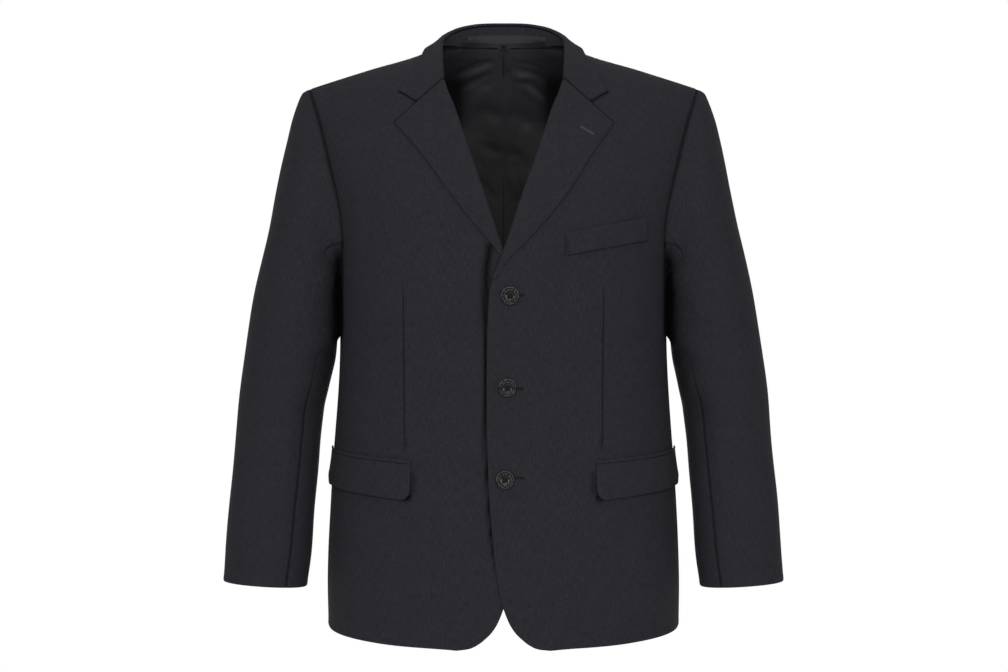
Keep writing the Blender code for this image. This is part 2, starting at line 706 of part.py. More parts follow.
def lying_row(fold_height, edge_out, edge_height, radius, over, bend=0.0):
    # A row that lies on the front: rolled at the fold, then flat, bent toward the notch.
    out = float(smooth(FRONT_EDGE, "out", fold_height))
    raised = float(overlap(out, fold_height, over))
    away = unit(mix(np.array((edge_out, edge_height)), np.array(NOTCH), bend) - np.array((out, fold_height)))
    ground = front_point(out, fold_height, raised)
    fold = front_point(out, fold_height, raised + radius)
    base = front_point(out + away[0] * BASE, fold_height + away[1] * BASE, raised)
    corner = np.array((edge_out, 0.0, edge_height))
    row = rolled_row(fold, base - ground, front_normal(out, fold_height, over), corner, radius)
    share = np.linspace(0, 1, LAPEL_COLUMNS - ROLL_POINTS + 1)
    start, notch = row[ROLL_POINTS - 1, (0, 2)], np.array(NOTCH)
    straight = mix(start, corner[[0, 2]], share[:, None])
    first, second = np.linalg.norm(notch - start), np.linalg.norm(corner[[0, 2]] - notch)
    stops = (0, first / (first + second), 1)
    bent = np.stack([np.interp(share, stops, (start[axis], notch[axis], corner[2 * axis]))
                     for axis in range(2)], axis=-1)
    flat = mix(straight, bent, bend)[1:]
    lift = mix(2 * radius, LAYER, share[1:] ** SETTLING) + overlap(flat[:, 0], flat[:, 1], over)
    row[ROLL_POINTS:] = front_point(flat[:, 0], flat[:, 1], lift)
    return row


def lapel(sections, over):
    rows = []
    for fold_height in np.linspace(sections["fold_height"][0], sections["fold_height"][-1], LAPEL_ROWS):
        rows.append(lying_row(
            fold_height, float(smooth(sections, "edge_out", fold_height)),
            float(smooth(sections, "edge_height", fold_height)), float(roll_radius(fold_height)), over))
    return inset(np.array(rows), end=WIDE_SEAM / 2, axis=0)


def settle(row, lift):
    # Keeps points at least this far outside the body's form.
    outer = np.array(row)
    ahead = body_y(row[:, 0], row[:, 2], True, lift)
    behind = body_y(row[:, 0], row[:, 2], False, lift)
    below = row[:, 2] < shoulder_height(row[:, 0]) + lift
    forward = row[:, 1] < RIDGE_Y
    outer[:, 1] = np.where(below & forward, np.minimum(row[:, 1], ahead), outer[:, 1])
    outer[:, 1] = np.where(below & ~forward, np.maximum(row[:, 1], behind), outer[:, 1])
    return outer


def collar_section(station):
    read = [float(smooth(COLLAR, name, station)) for name in COLLAR][1:]
    seam, fold, edge, face = (np.array(read[start:start + 3]) for start in range(0, 12, 3))
    return seam, fold, edge, unit(face)


def standing_row(station):
    seam, fold, edge, face = collar_section(station)
    row = rolled_row(fold, (seam + edge) / 2 - fold, face, edge, ROLL)
    lift = np.interp(np.arange(LAPEL_COLUMNS), (0, ROLL_POINTS - 1, LAPEL_COLUMNS - 1), (0, 2 * ROLL, LAYER))
    row[ROLL_POINTS:] = settle(row, lift)[ROLL_POINTS:]
    return row


def leaf_row(station):
    lying = lying_row(*(float(smooth(COLLAR_FRONT, name, station)) for name in list(COLLAR_FRONT)[1:]),
                      ROLL, False, float(ease(station, NOTCH_START, COLLAR_END)))
    last = COLLAR["station"][-1]
    return mix(standing_row(min(station, last)), lying, ease(station, STAND_END, last))


def stand_row(station):
    seam = collar_section(station)[0]
    top = leaf_row(station)[0]
    return np.linspace(seam, top + unit(seam - top) * STAND_GAP, 4)


def both_sides(build, end, count):
    rows = []
    for station in np.linspace(-end, end, 2 * count + 1):
        row = build(abs(station))
        row[:, 0] *= math.copysign(1.0, station)
        rows.append(row)
    return np.array(rows)


def top_collar():
    return inset(both_sides(leaf_row, COLLAR_END, COLLAR_ROWS), WIDE_SEAM / 2, WIDE_SEAM / 2, axis=0)


def collar_stand():
    return both_sides(stand_row, STAND_END, round(COLLAR_ROWS * STAND_END / COLLAR_END))


# ---- Pockets, band and lining -------------------------------------------------------------

def flap():
    share = np.linspace(0, 1, FLAP_COLUMNS)[None, :]
    depth = np.linspace(0, 1, FLAP_ROWS)[:, None]
    first = turn_at(FLAP_FROM, FLAP_TOP["height"][0])
    from_end = np.minimum(share, 1 - share) * FLAP_LENGTH
    corner = np.clip(1 - from_end / FLAP_CORNER, 0, 1)
    rounding = FLAP_CORNER_RISE * (1 - np.sqrt(1 - corner ** 2))
    high = mix(FLAP_TOP["height"][0], FLAP_TOP["height"][1], share)
    low = high - mix(FLAP_DEPTH["depth"][0], FLAP_DEPTH["depth"][1], share) + rounding
    height = mix(low, high, depth)
    turn = mix(first + FLAP_SLANT * (1 - depth), FLAP_TO, share)
    lift = LAYER + FLAP_KICK * (1 - depth) ** 1.5
    return body_point(turn, height, lift)


def jet():
    share = np.linspace(0, 1, FLAP_COLUMNS)[None, :]
    first = turn_at(FLAP_FROM, FLAP_TOP["height"][0])
    low = mix(FLAP_TOP["height"][0], FLAP_TOP["height"][1], share) + SEAM
    height = mix(low, low + JET_HEIGHT, np.linspace(0, 1, 3)[:, None])
    return body_point(mix(first, FLAP_TO, share), height, LAYER)


def welt():
    share = np.linspace(0, 1, 8)[None, :]
    rows = np.linspace(0, 1, 4)[:, None]
    out = mix(WELT_CORNERS["out"][0], WELT_CORNERS["out"][1], share)
    low = mix(WELT_CORNERS["low"][0], WELT_CORNERS["low"][1], share)
    high = mix(WELT_CORNERS["high"][0], WELT_CORNERS["high"][1], share)
    return front_point(out, mix(low, high, rows), WELT_LIFT)


def back_lining():
    # Lies inside the back, a little short of its edges.
    points = back()
    down_rows, across = np.gradient(points, axis=0), np.gradient(points, axis=1)
    normal = unit(np.cross(across, down_rows))
    normal = normal * np.sign(np.sum(normal * (points - LINING_CENTRE), axis=-1, keepdims=True))
    lining = (points - normal * LINING_LAYER)[1:-1]
    lining[..., 0] = np.maximum(lining[..., 0], SEAM)
    return inset(lining, end=LINING_INSET)


def neck_band():
    # Lies against the inside of the stand.
    columns = []
    for out in np.linspace(BAND_FROM, BAND_TO, BAND_COLUMNS):
        station = float(np.interp(abs(out), COLLAR["seam_x"][:4], COLLAR["station"][:4]))
        stand, face = stand_row(station), collar_section(station)[3]
        low = mix(BAND_LOW_MIDDLE, BAND_LOW_END, abs(out / BAND_TO) ** 1.5)
        rise = mix(low, BAND_HIGH, np.linspace(0, 1, 3)[:, None])
        column = mix(stand[0], stand[-1], rise) - unit(face * np.array((1, 1, 0))) * BAND_LAYER
        columns.append(mirrored(column) if out < 0 else column)
    return np.array(columns).transpose(1, 0, 2)


# ---- Buttons ------------------------------------------------------------------------------

def button(name, out, height, look):
    # A turned disc with a raised rim and a dished middle, cut by four thread holes.
    r, t = BUTTON_RADIUS, BUTTON_THICKNESS
    shape = bmesh.new()
    line = [shape.verts.new((share * r, 0.0, level * t)) for share, level in BUTTON_PROFILE]
    for first, second in zip(line, line[1:]):
        shape.edges.new((first, second))
    mesh = bpy.data.meshes.new(name)
    shape.to_mesh(mesh)
    shape.free()
    mesh.materials.append(look)
    part = bpy.data.objects.new(name, mesh)
    blazer.objects.link(part)
    turn = part.modifiers.new("Turn", "SCREW")
    turn.steps = turn.render_steps = BUTTON_STEPS
    turn.use_merge_vertices = True
    turn.merge_threshold = 0.00002
    for index in range(4):
        angle = math.radians(45 + 90 * index)
        bpy.ops.mesh.primitive_cylinder_add(vertices=8, radius=BUTTON_HOLE, depth=t * 3)
        cutter = bpy.context.object
        cutter.name = f"{name}_hole_{index + 1}"
        cutter.location = (HOLE_REACH * math.cos(angle), HOLE_REACH * math.sin(angle), t / 2)
        cutter.parent = part
        cutter.hide_render = True
        cutter.display_type = "WIRE"
        for home in cutter.users_collection:
            home.objects.unlink(cutter)
        cutters.objects.link(cutter)
        cut = part.modifiers.new(f"Hole {index + 1}", "BOOLEAN")
        cut.operation = "DIFFERENCE"
        cut.solver = "EXACT"
        cut.object = cutter
    normal = front_normal(out, height, True)
    foot = front_point(out, height, float(overlap(out, height, True))) + normal * (WALL / 2 + SEAM)
    part.location = foot
    part.rotation_mode = "QUATERNION"
    part.rotation_quaternion = Vector(normal).to_track_quat("Z", "Y")
    return part


# ---- The blazer ---------------------------------------------------------------------------

for item in list(bpy.data.objects):
    bpy.data.objects.remove(item, do_unlink=True)
blazer = bpy.data.collections.new("blazer")
cutters = bpy.data.collections.new("cutters")
bpy.context.scene.collection.children.link(blazer)
bpy.context.scene.collection.children.link(cutters)

wool = material("wool", CLOTH, 0.9)
satin = material("lining", LINING, 0.6)
tape = material("band", BAND, 0.8)
horn = material("horn", HORN, 0.25)

cloth("front_left", front(True), WALL, wool)
cloth("front_right", mirrored(front(False)), WALL, wool)
cloth("lapel_left", lapel(LAPEL_OVER, True), WALL, wool)
cloth("lapel_right", mirrored(lapel(LAPEL_UNDER, False)), WALL, wool)
cloth("top_collar", top_collar(), WALL, wool)
cloth("collar_stand", collar_stand(), WALL, wool)
cloth("breast_welt", welt(), WALL, wool)
cloth("neck_band", neck_band(), BAND_WALL, tape)

for word, place in (("left", np.array), ("right", mirrored)):
    cloth(f"side_{word}", place(side()), WALL, wool)
    cloth(f"back_{word}", place(back()), WALL, wool)
    cloth(f"top_sleeve_{word}", place(sleeve_panel("back", "front")), WALL, wool)
    cloth(f"under_sleeve_{word}", place(sleeve_panel("front", "back")), WALL, wool)
    cloth(f"flap_{word}", place(flap()), WALL, wool)
    cloth(f"jet_{word}", place(jet()), WALL, wool)
    cloth(f"back_lining_{word}", place(back_lining()), LINING_WALL, satin)

for name, out, height in zip(BUTTON_NAMES, BUTTONS["out"], BUTTONS["height"]):
    button(name, float(out), float(height), horn)
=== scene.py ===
import math
import bmesh
import bpy
import numpy as np
from mathutils import Matrix, Vector
from mathutils.bvhtree import BVHTree


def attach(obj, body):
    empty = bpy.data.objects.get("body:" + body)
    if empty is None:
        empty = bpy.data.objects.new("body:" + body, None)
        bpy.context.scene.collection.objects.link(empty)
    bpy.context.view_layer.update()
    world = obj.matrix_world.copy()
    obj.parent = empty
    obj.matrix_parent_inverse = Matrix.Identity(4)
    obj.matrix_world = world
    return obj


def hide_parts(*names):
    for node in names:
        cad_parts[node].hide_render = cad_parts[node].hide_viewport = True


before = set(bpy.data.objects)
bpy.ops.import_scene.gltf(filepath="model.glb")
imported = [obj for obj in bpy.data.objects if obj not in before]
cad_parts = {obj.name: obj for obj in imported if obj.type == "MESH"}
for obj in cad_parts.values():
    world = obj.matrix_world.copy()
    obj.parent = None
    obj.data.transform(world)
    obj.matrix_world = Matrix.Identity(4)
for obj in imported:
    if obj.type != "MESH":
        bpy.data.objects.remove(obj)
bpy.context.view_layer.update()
print("frame loaded:", len(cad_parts), "nodes")

# ---- camera, light and floor

view = {"distance": 3.0, "height": -0.358, "lens": 85.0, "sensor": 36.0, "shift": 0.5 / 1008}
studio = {
    "background": 1.0,
    "floorHeight": -1.0, "floorRadius": 1.4, "floorColour": (0.80, 0.80, 0.80, 1),
    # each: place, aimed at, size, watts
    "lights": [
        ((-1.15, -3.2, 0.10), (0, 0, -0.30), (0.5, 1.6), 86),
        ((1.15, -3.2, 0.00), (0, 0, -0.30), (0.5, 1.6), 80),
        ((0.05, -3.4, 0.75), (0, 0, -0.30), (1.6, 0.5), 96),
        ((0.0, -0.6, 2.2), (0, 0, 0.0), (2.0, 1.0), 40),
        ((0.0, 3.4, 0.7), (0, 0, -0.3), (1.0, 1.0), 170),
    ],
}

scene = bpy.context.scene


def newObject(name, data):
    piece = bpy.data.objects.new(name, data)
    scene.collection.objects.link(piece)
    return piece


cameraData = bpy.data.cameras.new("camera")
scene.camera = camera = newObject("camera", cameraData)
camera.location = (0, -view["distance"], view["height"])
camera.rotation_euler = (math.pi / 2, 0, 0)
cameraData.lens = view["lens"]
cameraData.sensor_width = view["sensor"]
cameraData.shift_x = view["shift"]
cameraData.clip_end = 30
scene.view_settings.view_transform = "Standard"

world = bpy.data.worlds.new("studio")
scene.world = world
world.use_nodes = True
world.node_tree.nodes["Background"].inputs["Color"].default_value = (1, 1, 1, 1)
world.node_tree.nodes["Background"].inputs["Strength"].default_value = studio["background"]


def softLight(number, place, aim, size, watts):
    data = bpy.data.lights.new(f"softLight{number}", "AREA")
    data.shape = "RECTANGLE"
    data.size, data.size_y = size
    data.energy = watts
    lamp = newObject(f"softLight{number}", data)
    lamp.location = place
    lamp.rotation_euler = (Vector(aim) - Vector(place)).to_track_quat("-Z", "Y").to_euler()
    lamp.visible_camera = False


for number, setting in enumerate(studio["lights"]):
    softLight(number, *setting)


# ---- materials

class Shade:  # a shader socket that takes part in sums
    def __init__(self, tree, socket=None):
        self.tree, self.socket = tree, socket

    def make(self, kind, settings, inputs, output=0):
        node = self.tree.nodes.new(kind)
        for key, value in settings.items():
            setattr(node, key, value)
        for key, value in inputs.items():
            if isinstance(value, Shade):
                self.tree.links.new(value.socket, node.inputs[key])
            else:
                node.inputs[key].default_value = value
        return Shade(self.tree, node.outputs[output])

    def sum(self, operation, first, second):
        return self.make("ShaderNodeMath", {"operation": operation}, {0: first, 1: second})

    def __add__(self, other): return self.sum("ADD", self, other)
    def __radd__(self, other): return self.sum("ADD", other, self)
    def __sub__(self, other): return self.sum("SUBTRACT", self, other)
    def __mul__(self, other): return self.sum("MULTIPLY", self, other)

    def between(self, low, high):  # 0 below low, 1 above high
        return self.make("ShaderNodeMapRange", {"clamp": True}, {0: self, 1: low, 2: high})

    def blend(self, first, second):  # this value mixes two colours
        return self.make("ShaderNodeMix", {"data_type": "RGBA"}, {0: self, 6: first, 7: second}, 2)

    def bump(self, strength, distance):  # this value as a height
        return self.make("ShaderNodeBump", {}, {"Height": self, "Strength": strength, "Distance": distance})


def newMaterial(name, **fixed):
    material = bpy.data.materials.new(name)
    material.use_nodes = True
    surface = material.node_tree.nodes["Principled BSDF"]
    for key, value in fixed.items():
        surface.inputs[key.replace("_", " ")].default_value = value
    return material, Shade(material.node_tree), surface


def feed(tools, surface, **links):
    for key, value in links.items():
        tools.tree.links.new(value.socket, surface.inputs[key.replace("_", " ")])


def stretched(tools, across, along, detail):  # noise drawn out along the cloth's threads
    place = tools.make("ShaderNodeUVMap", {"uv_map": "cloth"}, {})
    place = tools.make("ShaderNodeMapping", {}, {"Vector": place, "Scale": (across, along, 1)})
    return tools.make("ShaderNodeTexNoise", {"noise_dimensions": "2D"},
                      {"Vector": place, "Scale": 1.0, "Detail": detail, "Roughness": 0.6})


bandSpacing = 0.314159  # between the bands of a wave texture of scale 1


def weaveOf(tools, pitch):  # threads at a regular pitch, across and along
    place = tools.make("ShaderNodeUVMap", {"uv_map": "cloth"}, {})
    across, along = (tools.make("ShaderNodeTexWave", {"bands_direction": direction},
                                {"Vector": place, "Scale": bandSpacing / pitch, "Distortion": 0.0})
                     for direction in "XY")
    return across * along


wool = {
    "dark": (0.0041, 0.0040, 0.0050, 1), "light": (0.0109, 0.0106, 0.0127, 1),
    "paintedShade": (0.0006, 0.0006, 0.0008, 1), "warp": (760, 110), "weft": (110, 760), "pitch": 0.0009,
    "glossOffInShade": (0.60, 1.0),  # how much painted shade takes the cloth's last gloss away, so painted shadows go black
}


def paintedShadeAmount(tools):  # how much painted shade each point carries, worked out with its mesh: seams, creases and hidden corners
    return tools.make("ShaderNodeAttribute", {"attribute_name": "shade"}, {}, 2)


def suiting(name, lift=1.0):
    material, tools, surface = newMaterial(
        name, Roughness=0.88, Sheen_Weight=0.007, Sheen_Roughness=0.5, Sheen_Tint=(0.75, 0.76, 0.85, 1),
        Specular_Tint=(0, 0, 0, 1), Specular_IOR_Level=0.06)
    warp = stretched(tools, *wool["warp"], 3.0)
    weft = stretched(tools, *wool["weft"], 3.0)
    cloud = stretched(tools, 40, 30, 2.0)
    streak = (warp * 0.66 + weft * 0.34 + cloud * 0.10 - 0.05).between(0.20, 0.80)
    dark, light = (tuple(value * lift for value in wool[tone][:3]) + (1,) for tone in ("dark", "light"))
    weave = weaveOf(tools, wool["pitch"])
    cloth = (streak * 0.85 + weave * 0.15).blend(dark, light)
    # painted shade: the cloth blends to a near-black colour along seams, creases and crevices, and where that shade
    # is deep its gloss goes through Metallic
    paintedShade = paintedShadeAmount(tools)
    feed(tools, surface, Base_Color=paintedShade.blend(cloth, wool["paintedShade"]), Metallic=paintedShade.between(*wool["glossOffInShade"]),
         Normal=(streak * 0.5 + weave).bump(0.35, 0.00025))
    return material


lining = {"dark": (0.0050, 0.0050, 0.0058, 1), "light": (0.0100, 0.0100, 0.0116, 1),
          "paintedShade": (0.0006, 0.0006, 0.0008, 1)}


def satin(name):
    material, tools, surface = newMaterial(name, Sheen_Weight=0.02, Sheen_Roughness=0.3, Specular_IOR_Level=0.08)
    grain = stretched(tools, 900, 90, 2.0)
    cloud = stretched(tools, 30, 18, 3.0)
    cloth = (grain * 0.5 + cloud * 0.5).blend(lining["dark"], lining["light"])
    # painted shade: the lining blends to a near-black colour at its seams and sides, and where that shade is deep its
    # gloss goes through Metallic
    paintedShade = paintedShadeAmount(tools)
    feed(tools, surface, Base_Color=paintedShade.blend(cloth, lining["paintedShade"]), Metallic=paintedShade.between(*wool["glossOffInShade"]),
         Roughness=0.50 + grain * 0.14, Normal=(cloud + grain * 0.04).bump(0.5, 0.003))
    return material


band = {"dark": (0.0024, 0.0024, 0.0028, 1), "light": (0.0078, 0.0078, 0.0092, 1), "pitch": 0.0011}


def bandCloth(name):
    material, tools, surface = newMaterial(name, Roughness=0.8, Specular_IOR_Level=0.15)
    weave = weaveOf(tools, band["pitch"])
    grain = stretched(tools, 400, 300, 2.0)
    feed(tools, surface, Base_Color=(weave * 0.5 + grain * 0.5).blend(band["dark"], band["light"]),
         Normal=(weave + grain * 0.4).bump(0.5, 0.0002))
    return material


hornTones = {"dark": (0.0012, 0.0012, 0.0012, 1), "light": (0.0060, 0.0056, 0.0056, 1)}


def hornLook(name):
    material, tools, surface = newMaterial(name, Specular_IOR_Level=0.11)
    place = tools.make("ShaderNodeTexCoord", {}, {}, 3)
    cloud = tools.make("ShaderNodeTexNoise", {}, {"Vector": place, "Scale": 170.0, "Detail": 3.0, "Distortion": 1.2})
    feed(tools, surface, Base_Color=cloud.between(0.35, 0.7).blend(hornTones["dark"], hornTones["light"]),
         Roughness=0.05 + cloud * 0.05)
    return material


def threadLook(name, dark, light):
    material, tools, surface = newMaterial(name, Roughness=0.8, Specular_IOR_Level=0.05)
    place = tools.make("ShaderNodeTexCoord", {}, {}, 3)
    twist = tools.make("ShaderNodeTexNoise", {}, {"Vector": place, "Scale": 2500.0, "Detail": 1.0})
    feed(tools, surface, Base_Color=twist.blend(dark, light), Normal=twist.bump(0.4, 0.0001))
    return material


woolCloth, undersideCloth = suiting("woolSuiting"), suiting("woolUnderside", 0.85)
satinCloth, plainBand, horn = satin("liningSatin"), bandCloth("neckBand"), hornLook("buttonHorn")
silkThread = threadLook("silkThread", (0.0012, 0.0012, 0.0016, 1), (0.0040, 0.0040, 0.0050, 1))
holeThread = threadLook("holeThread", (0.0090, 0.0090, 0.0096, 1), (0.0240, 0.0240, 0.0250, 1))
print("materials ready")


# ---- reading a cloth node's grid of points

def gridOf(node, rowsAlong, columnsAlong, outward):
    # One side of the cloth as rows and columns of points. rowsAlong and columnsAlong say in which
    # direction each count rises: an axis 0, 1 or 2 and a sign. outward picks the side.
    shape = bmesh.new()
    shape.from_mesh(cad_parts[node].data)
    bmesh.ops.remove_doubles(shape, verts=shape.verts, dist=1e-6)
    shape.normal_update()
    half = len(shape.verts) // 2
    for limit in (80, 75, 70, 65, 60, 55, 50, 85):  # the rim's angle isn't the same on every node
        sides = [side for side in smoothSides(shape, math.radians(limit))
                 if len({vert for face in side for vert in face.verts}) == half]
        if len(sides) == 2:
            break
    sides.sort(key=lambda side: sum(face.calc_area() * face.normal.dot(outward(face.calc_center_median()))
                                    for face in side))
    side = sides[-1]
    count = {}
    for face in side:
        for edge in face.edges:
            count[edge] = count.get(edge, 0) + 1
    links, rim = neighbours(count), neighbours(edge for edge, times in count.items() if times == 1)
    isCorner = {vert: len(links[vert]) <= 3 for vert in rim}
    start = next(vert for vert in rim if isCorner[vert])
    row = [start, rim[start][0]]
    while not isCorner[row[-1]]:
        row.append(next(vert for vert in rim[row[-1]] if vert is not row[-2]))
    used = set(row)
    rows = [row]
    nextStart = rim[start][1]
    while True:
        line = [nextStart]
        used.add(nextStart)
        for above in rows[-1][1:]:
            line.append(next(vert for vert in links[above] if vert in links[line[-1]] and vert not in used))
            used.add(line[-1])
        rows.append(line)
        onward = [vert for vert in rim[nextStart] if vert not in used]
        if not onward:
            break
        nextStart = onward[0]
    points = np.array([[tuple(vert.co) for vert in line] for line in rows])
    shape.free()
    axis, sign = rowsAlong
    if abs((points[-1] - points[0]).mean(axis=0)[axis]) < abs((points[:, -1] - points[:, 0]).mean(axis=0)[axis]):
        points = points.transpose(1, 0, 2)
    if (points[-1] - points[0]).mean(axis=0)[axis] * sign < 0:
        points = points[::-1]
    axis, sign = columnsAlong
    if (points[:, -1] - points[:, 0]).mean(axis=0)[axis] * sign < 0:
        points = points[:, ::-1]
    return points


def neighbours(edges):
    found = {}
    for first, second in (edge.verts for edge in edges):
        found.setdefault(first, []).append(second)
        found.setdefault(second, []).append(first)
    return found


def smoothSides(shape, limit):
    # The faces in groups that meet at less than the limit's angle.
    seen, sides = set(), []
    for face in shape.faces:
        if face in seen:
            continue
        seen.add(face)
        side, waiting = [], [face]
        while waiting:
            here = waiting.pop()
            side.append(here)
            for edge in here.edges:
                if len(edge.link_faces) == 2 and edge.calc_face_angle() < limit:
                    for other in edge.link_faces:
                        if other not in seen:
                            seen.add(other)
                            waiting.append(other)
        sides.append(side)
    return sides


def fromTrunk(place):
    return Vector((place.x, place.y, 0)).normalized()


sleeveLine = {"top": -0.17, "drop": 0.49, "out": 0.247, "spread": 0.050, "forward": 0.028, "turnReach": 0.065}


def sleeveMiddle(height):
    # How far out and how far forward a sleeve's middle line lies.
    share = np.clip((sleeveLine["top"] - height) / sleeveLine["drop"], 0, 1)
    return sleeveLine["out"] + sleeveLine["spread"] * share, sleeveLine["forward"] * share


def fromSleeve(sign):
    def away(place):
        out, forward = sleeveMiddle(place.z)
        return (place - Vector((sign * out, -forward, place.z))).normalized()
    return away


# ---- making a sheet of cloth from a grid

cloth = {  # what the sheets share, in metres; some pieces have their own seam, seamGrow or swell
    # the places beside an edge, in edge cells, how far they go in spacings, and where the even ones start
    "edgeCell": 0.0016, "edgePlaces": (0.3, 1, 2), "edgeLimit": 1.5, "evenFrom": 2.6,
    "dartReach": 0.008, "dartColumns": 22, "dartClear": 0.1,
    "seam": (0.0009, 0.0018, 0.75, 0.0012),  # depth, width, darkness of its painted shade and that one's width
    "turnIn": (0.0007, 0.0014), "edgeRoll": (0.00025, 0.004, 0.003),  # at a free edge
    "seamGrow": 0.0004, "joinReach": 0.009, "narrowGap": 0.0016, "narrowShare": 0.48, "wideShare": 0.85,
    "leastGap": 0.0004, "swell": 0.0008, "waveSize": 0.07, "fade": 0.03,
    "cornerWalls": 2.5, "smoothAngle": 50,
}


def bell(distance, width):
    return np.exp(-(distance / width) ** 2)


def curveThrough(points, places):
    # A smooth curve through the points, read at places counted in points, along the first axis.
    last = len(points) - 1
    cell = np.clip(np.floor(places).astype(int), 0, last - 1)
    step = (places - cell).reshape(-1, *([1] * (points.ndim - 1)))
    before = points[np.maximum(cell - 1, 0)]
    here, there = points[cell], points[cell + 1]
    after = points[np.minimum(cell + 2, last)]
    before = np.where((cell == 0).reshape(step.shape), 2 * here - there, before)
    after = np.where((cell == last - 1).reshape(step.shape), 2 * there - here, after)
    inSlope, outSlope = (there - before) / 2, (after - here) / 2
    return ((2 * step ** 3 - 3 * step ** 2 + 1) * here + (step ** 3 - 2 * step ** 2 + step) * inSlope
            + (3 * step ** 2 - 2 * step ** 3) * there + (step ** 3 - step ** 2) * outSlope)


def finePlaces(points, spacing):
    # Places along the first axis about spacing apart, closer by both ends.
    edge = cloth["edgeCell"]
    steps = np.linalg.norm(np.diff(points, axis=0), axis=-1).mean(axis=1)
    length = runningSum(steps, 0)
    count = max(2, round(length[-1] / spacing))
    even = np.linspace(0, length[-1], count + 1)
    ends = np.array([edge * share for share in cloth["edgePlaces"] if edge * share < spacing * cloth["edgeLimit"]])
    inside = (even > cloth["evenFrom"] * edge) & (even < length[-1] - cloth["evenFrom"] * edge)
    even = np.unique(np.concatenate([even[inside], [0, length[-1]], ends, length[-1] - ends]))
    return np.interp(even, length, np.arange(len(length)))


def runningSum(steps, axis):
    # Sums along an axis, starting at zero: lengths become places.
    return np.concatenate([np.zeros_like(steps.take([0], axis)), np.cumsum(steps, axis)], axis)


def normalsOf(points):
    across = np.gradient(points, axis=1)
    down = np.gradient(points, axis=0)
    normal = np.cross(across, down)
    return normal / np.maximum(np.linalg.norm(normal, axis=-1, keepdims=True), 1e-12)


def clothPlaces(points, mode):
    # Where each point lies on the cut cloth, in metres: across and along the threads.
    if mode[0] == "sleeve":  # round the arm from its outer side, the front being minus, and by height
        sign, inner = mode[1:]
        middle, forward = sleeveMiddle(points[..., 2])
        out = (points[..., 0] - sign * middle) * sign
        turn = np.arctan2(points[..., 1] + forward, -out if inner else out)
        return turn * sleeveLine["turnReach"], points[..., 2]
    acrossStep, downStep = np.diff(points, axis=1), np.diff(points, axis=0)
    if mode == "trunk":
        first = points[:, :1, 0]
        acrossLength = np.hypot(acrossStep[..., 0], acrossStep[..., 1]) * (1 if acrossStep[..., 0].sum() > 0 else -1)
        downLength = np.hypot(downStep[..., 1], downStep[..., 2])
        start = points[:1, :, 2]
    else:
        acrossLength = np.linalg.norm(acrossStep, axis=-1)
        downLength = np.linalg.norm(downStep, axis=-1)
        middle = acrossLength.sum(axis=1, keepdims=True) / 2
        first, start = -middle, np.zeros((1, points.shape[1]))
    return first + runningSum(acrossLength, 1), start + runningSum(downLength, 0)


def clothObject(name, points, places, shade, wall, outerLook, innerLook):
    rows, columns = points.shape[:2]
    index = np.arange(rows * columns).reshape(rows, columns)
    faces = np.stack([index[:-1, :-1], index[:-1, 1:], index[1:, 1:], index[1:, :-1]], axis=-1).reshape(-1, 4)
    mesh = bpy.data.meshes.new(name)
    mesh.from_pydata(points.reshape(-1, 3).tolist(), [], faces.tolist())
    spots = np.stack(places, axis=-1).reshape(-1, 2)[faces.reshape(-1)]
    mesh.uv_layers.new(name="cloth").data.foreach_set("uv", spots.astype(np.float32).ravel())
    # the painted shade of each point, which the materials read
    mesh.attributes.new("shade", "FLOAT", "POINT").data.foreach_set("value", shade.astype(np.float32).ravel())
    mesh.materials.append(outerLook)
    mesh.materials.append(innerLook)
    piece = newObject(name, mesh)
    mesh.shade_smooth()
    thick = piece.modifiers.new("wall", "SOLIDIFY")
    thick.thickness = wall
    thick.offset = -1.0
    thick.use_even_offset = True
    thick.material_offset = 1
    thick.material_offset_rim = 0
    bpy.ops.object.select_all(action="DESELECT")
    piece.select_set(True)
    bpy.context.view_layer.objects.active = piece
    bpy.ops.object.modifier_apply(modifier="wall")
    # at sharp corners some points of the inner side run far off, so they come back to near the wall
    sides = np.array([vert.co[:] for vert in mesh.vertices]).reshape(2, -1, 3)
    step = sides[1] - sides[0]
    length = np.linalg.norm(step, axis=-1, keepdims=True)
    sides[1] = sides[0] + step * np.minimum(1, cloth["cornerWalls"] * wall / np.maximum(length, 1e-9))
    mesh.vertices.foreach_set("co", sides.astype(np.float32).ravel())
    mesh.update()
    bpy.ops.object.shade_smooth_by_angle(angle=math.radians(cloth["smoothAngle"]))
    return piece


def lineHollow(across, down, line, depth, width, ends=2.5):
    # A soft trough along a line of places on the cloth, dying out at both ends. A minus depth is a ridge.
    line = np.array(line, dtype=float)
    best = np.full(across.shape, 1e9)
    share = np.zeros(across.shape)
    lengths = np.linalg.norm(np.diff(line, axis=0), axis=1)
    total, gone = lengths.sum(), 0.0
    for first, second, length in zip(line, line[1:], lengths):
        along = (second - first) / length
        reach = np.clip((across - first[0]) * along[0] + (down - first[1]) * along[1], 0, length)
        apart = np.hypot(across - first[0] - along[0] * reach, down - first[1] - along[1] * reach)
        nearer = apart < best
        best = np.where(nearer, apart, best)
        share = np.where(nearer, (gone + reach) / total, share)
        gone += length
    fade = np.clip(np.minimum(share, 1 - share) * ends, 0, 1)
    return depth * bell(best, width) * fade * fade * (3 - 2 * fade)


def waves(points, size, seed):
    # Slow, uneven swelling of the cloth. The rates only have to differ, so that it doesn't repeat.
    phase = seed * 1.7
    x, y, z = (points[..., axis] / size for axis in range(3))
    return (np.sin(2.1 * x + 1.3 * z + phase) * np.cos(1.7 * z - 0.8 * y + 2 * phase)
            + 0.6 * np.sin(3.3 * z + 2.2 * y - phase) * np.cos(2.9 * x + phase * 0.5)) / 1.6


def mirrored(lines, sign, share=1.0):
    # Lines given for the wearer's left, as they are or for the right, with a share of their depth.
    return [([(sign * x, z) for x, z in line], depth * share, width) for line, depth, width in lines]


nodeTrees = {}


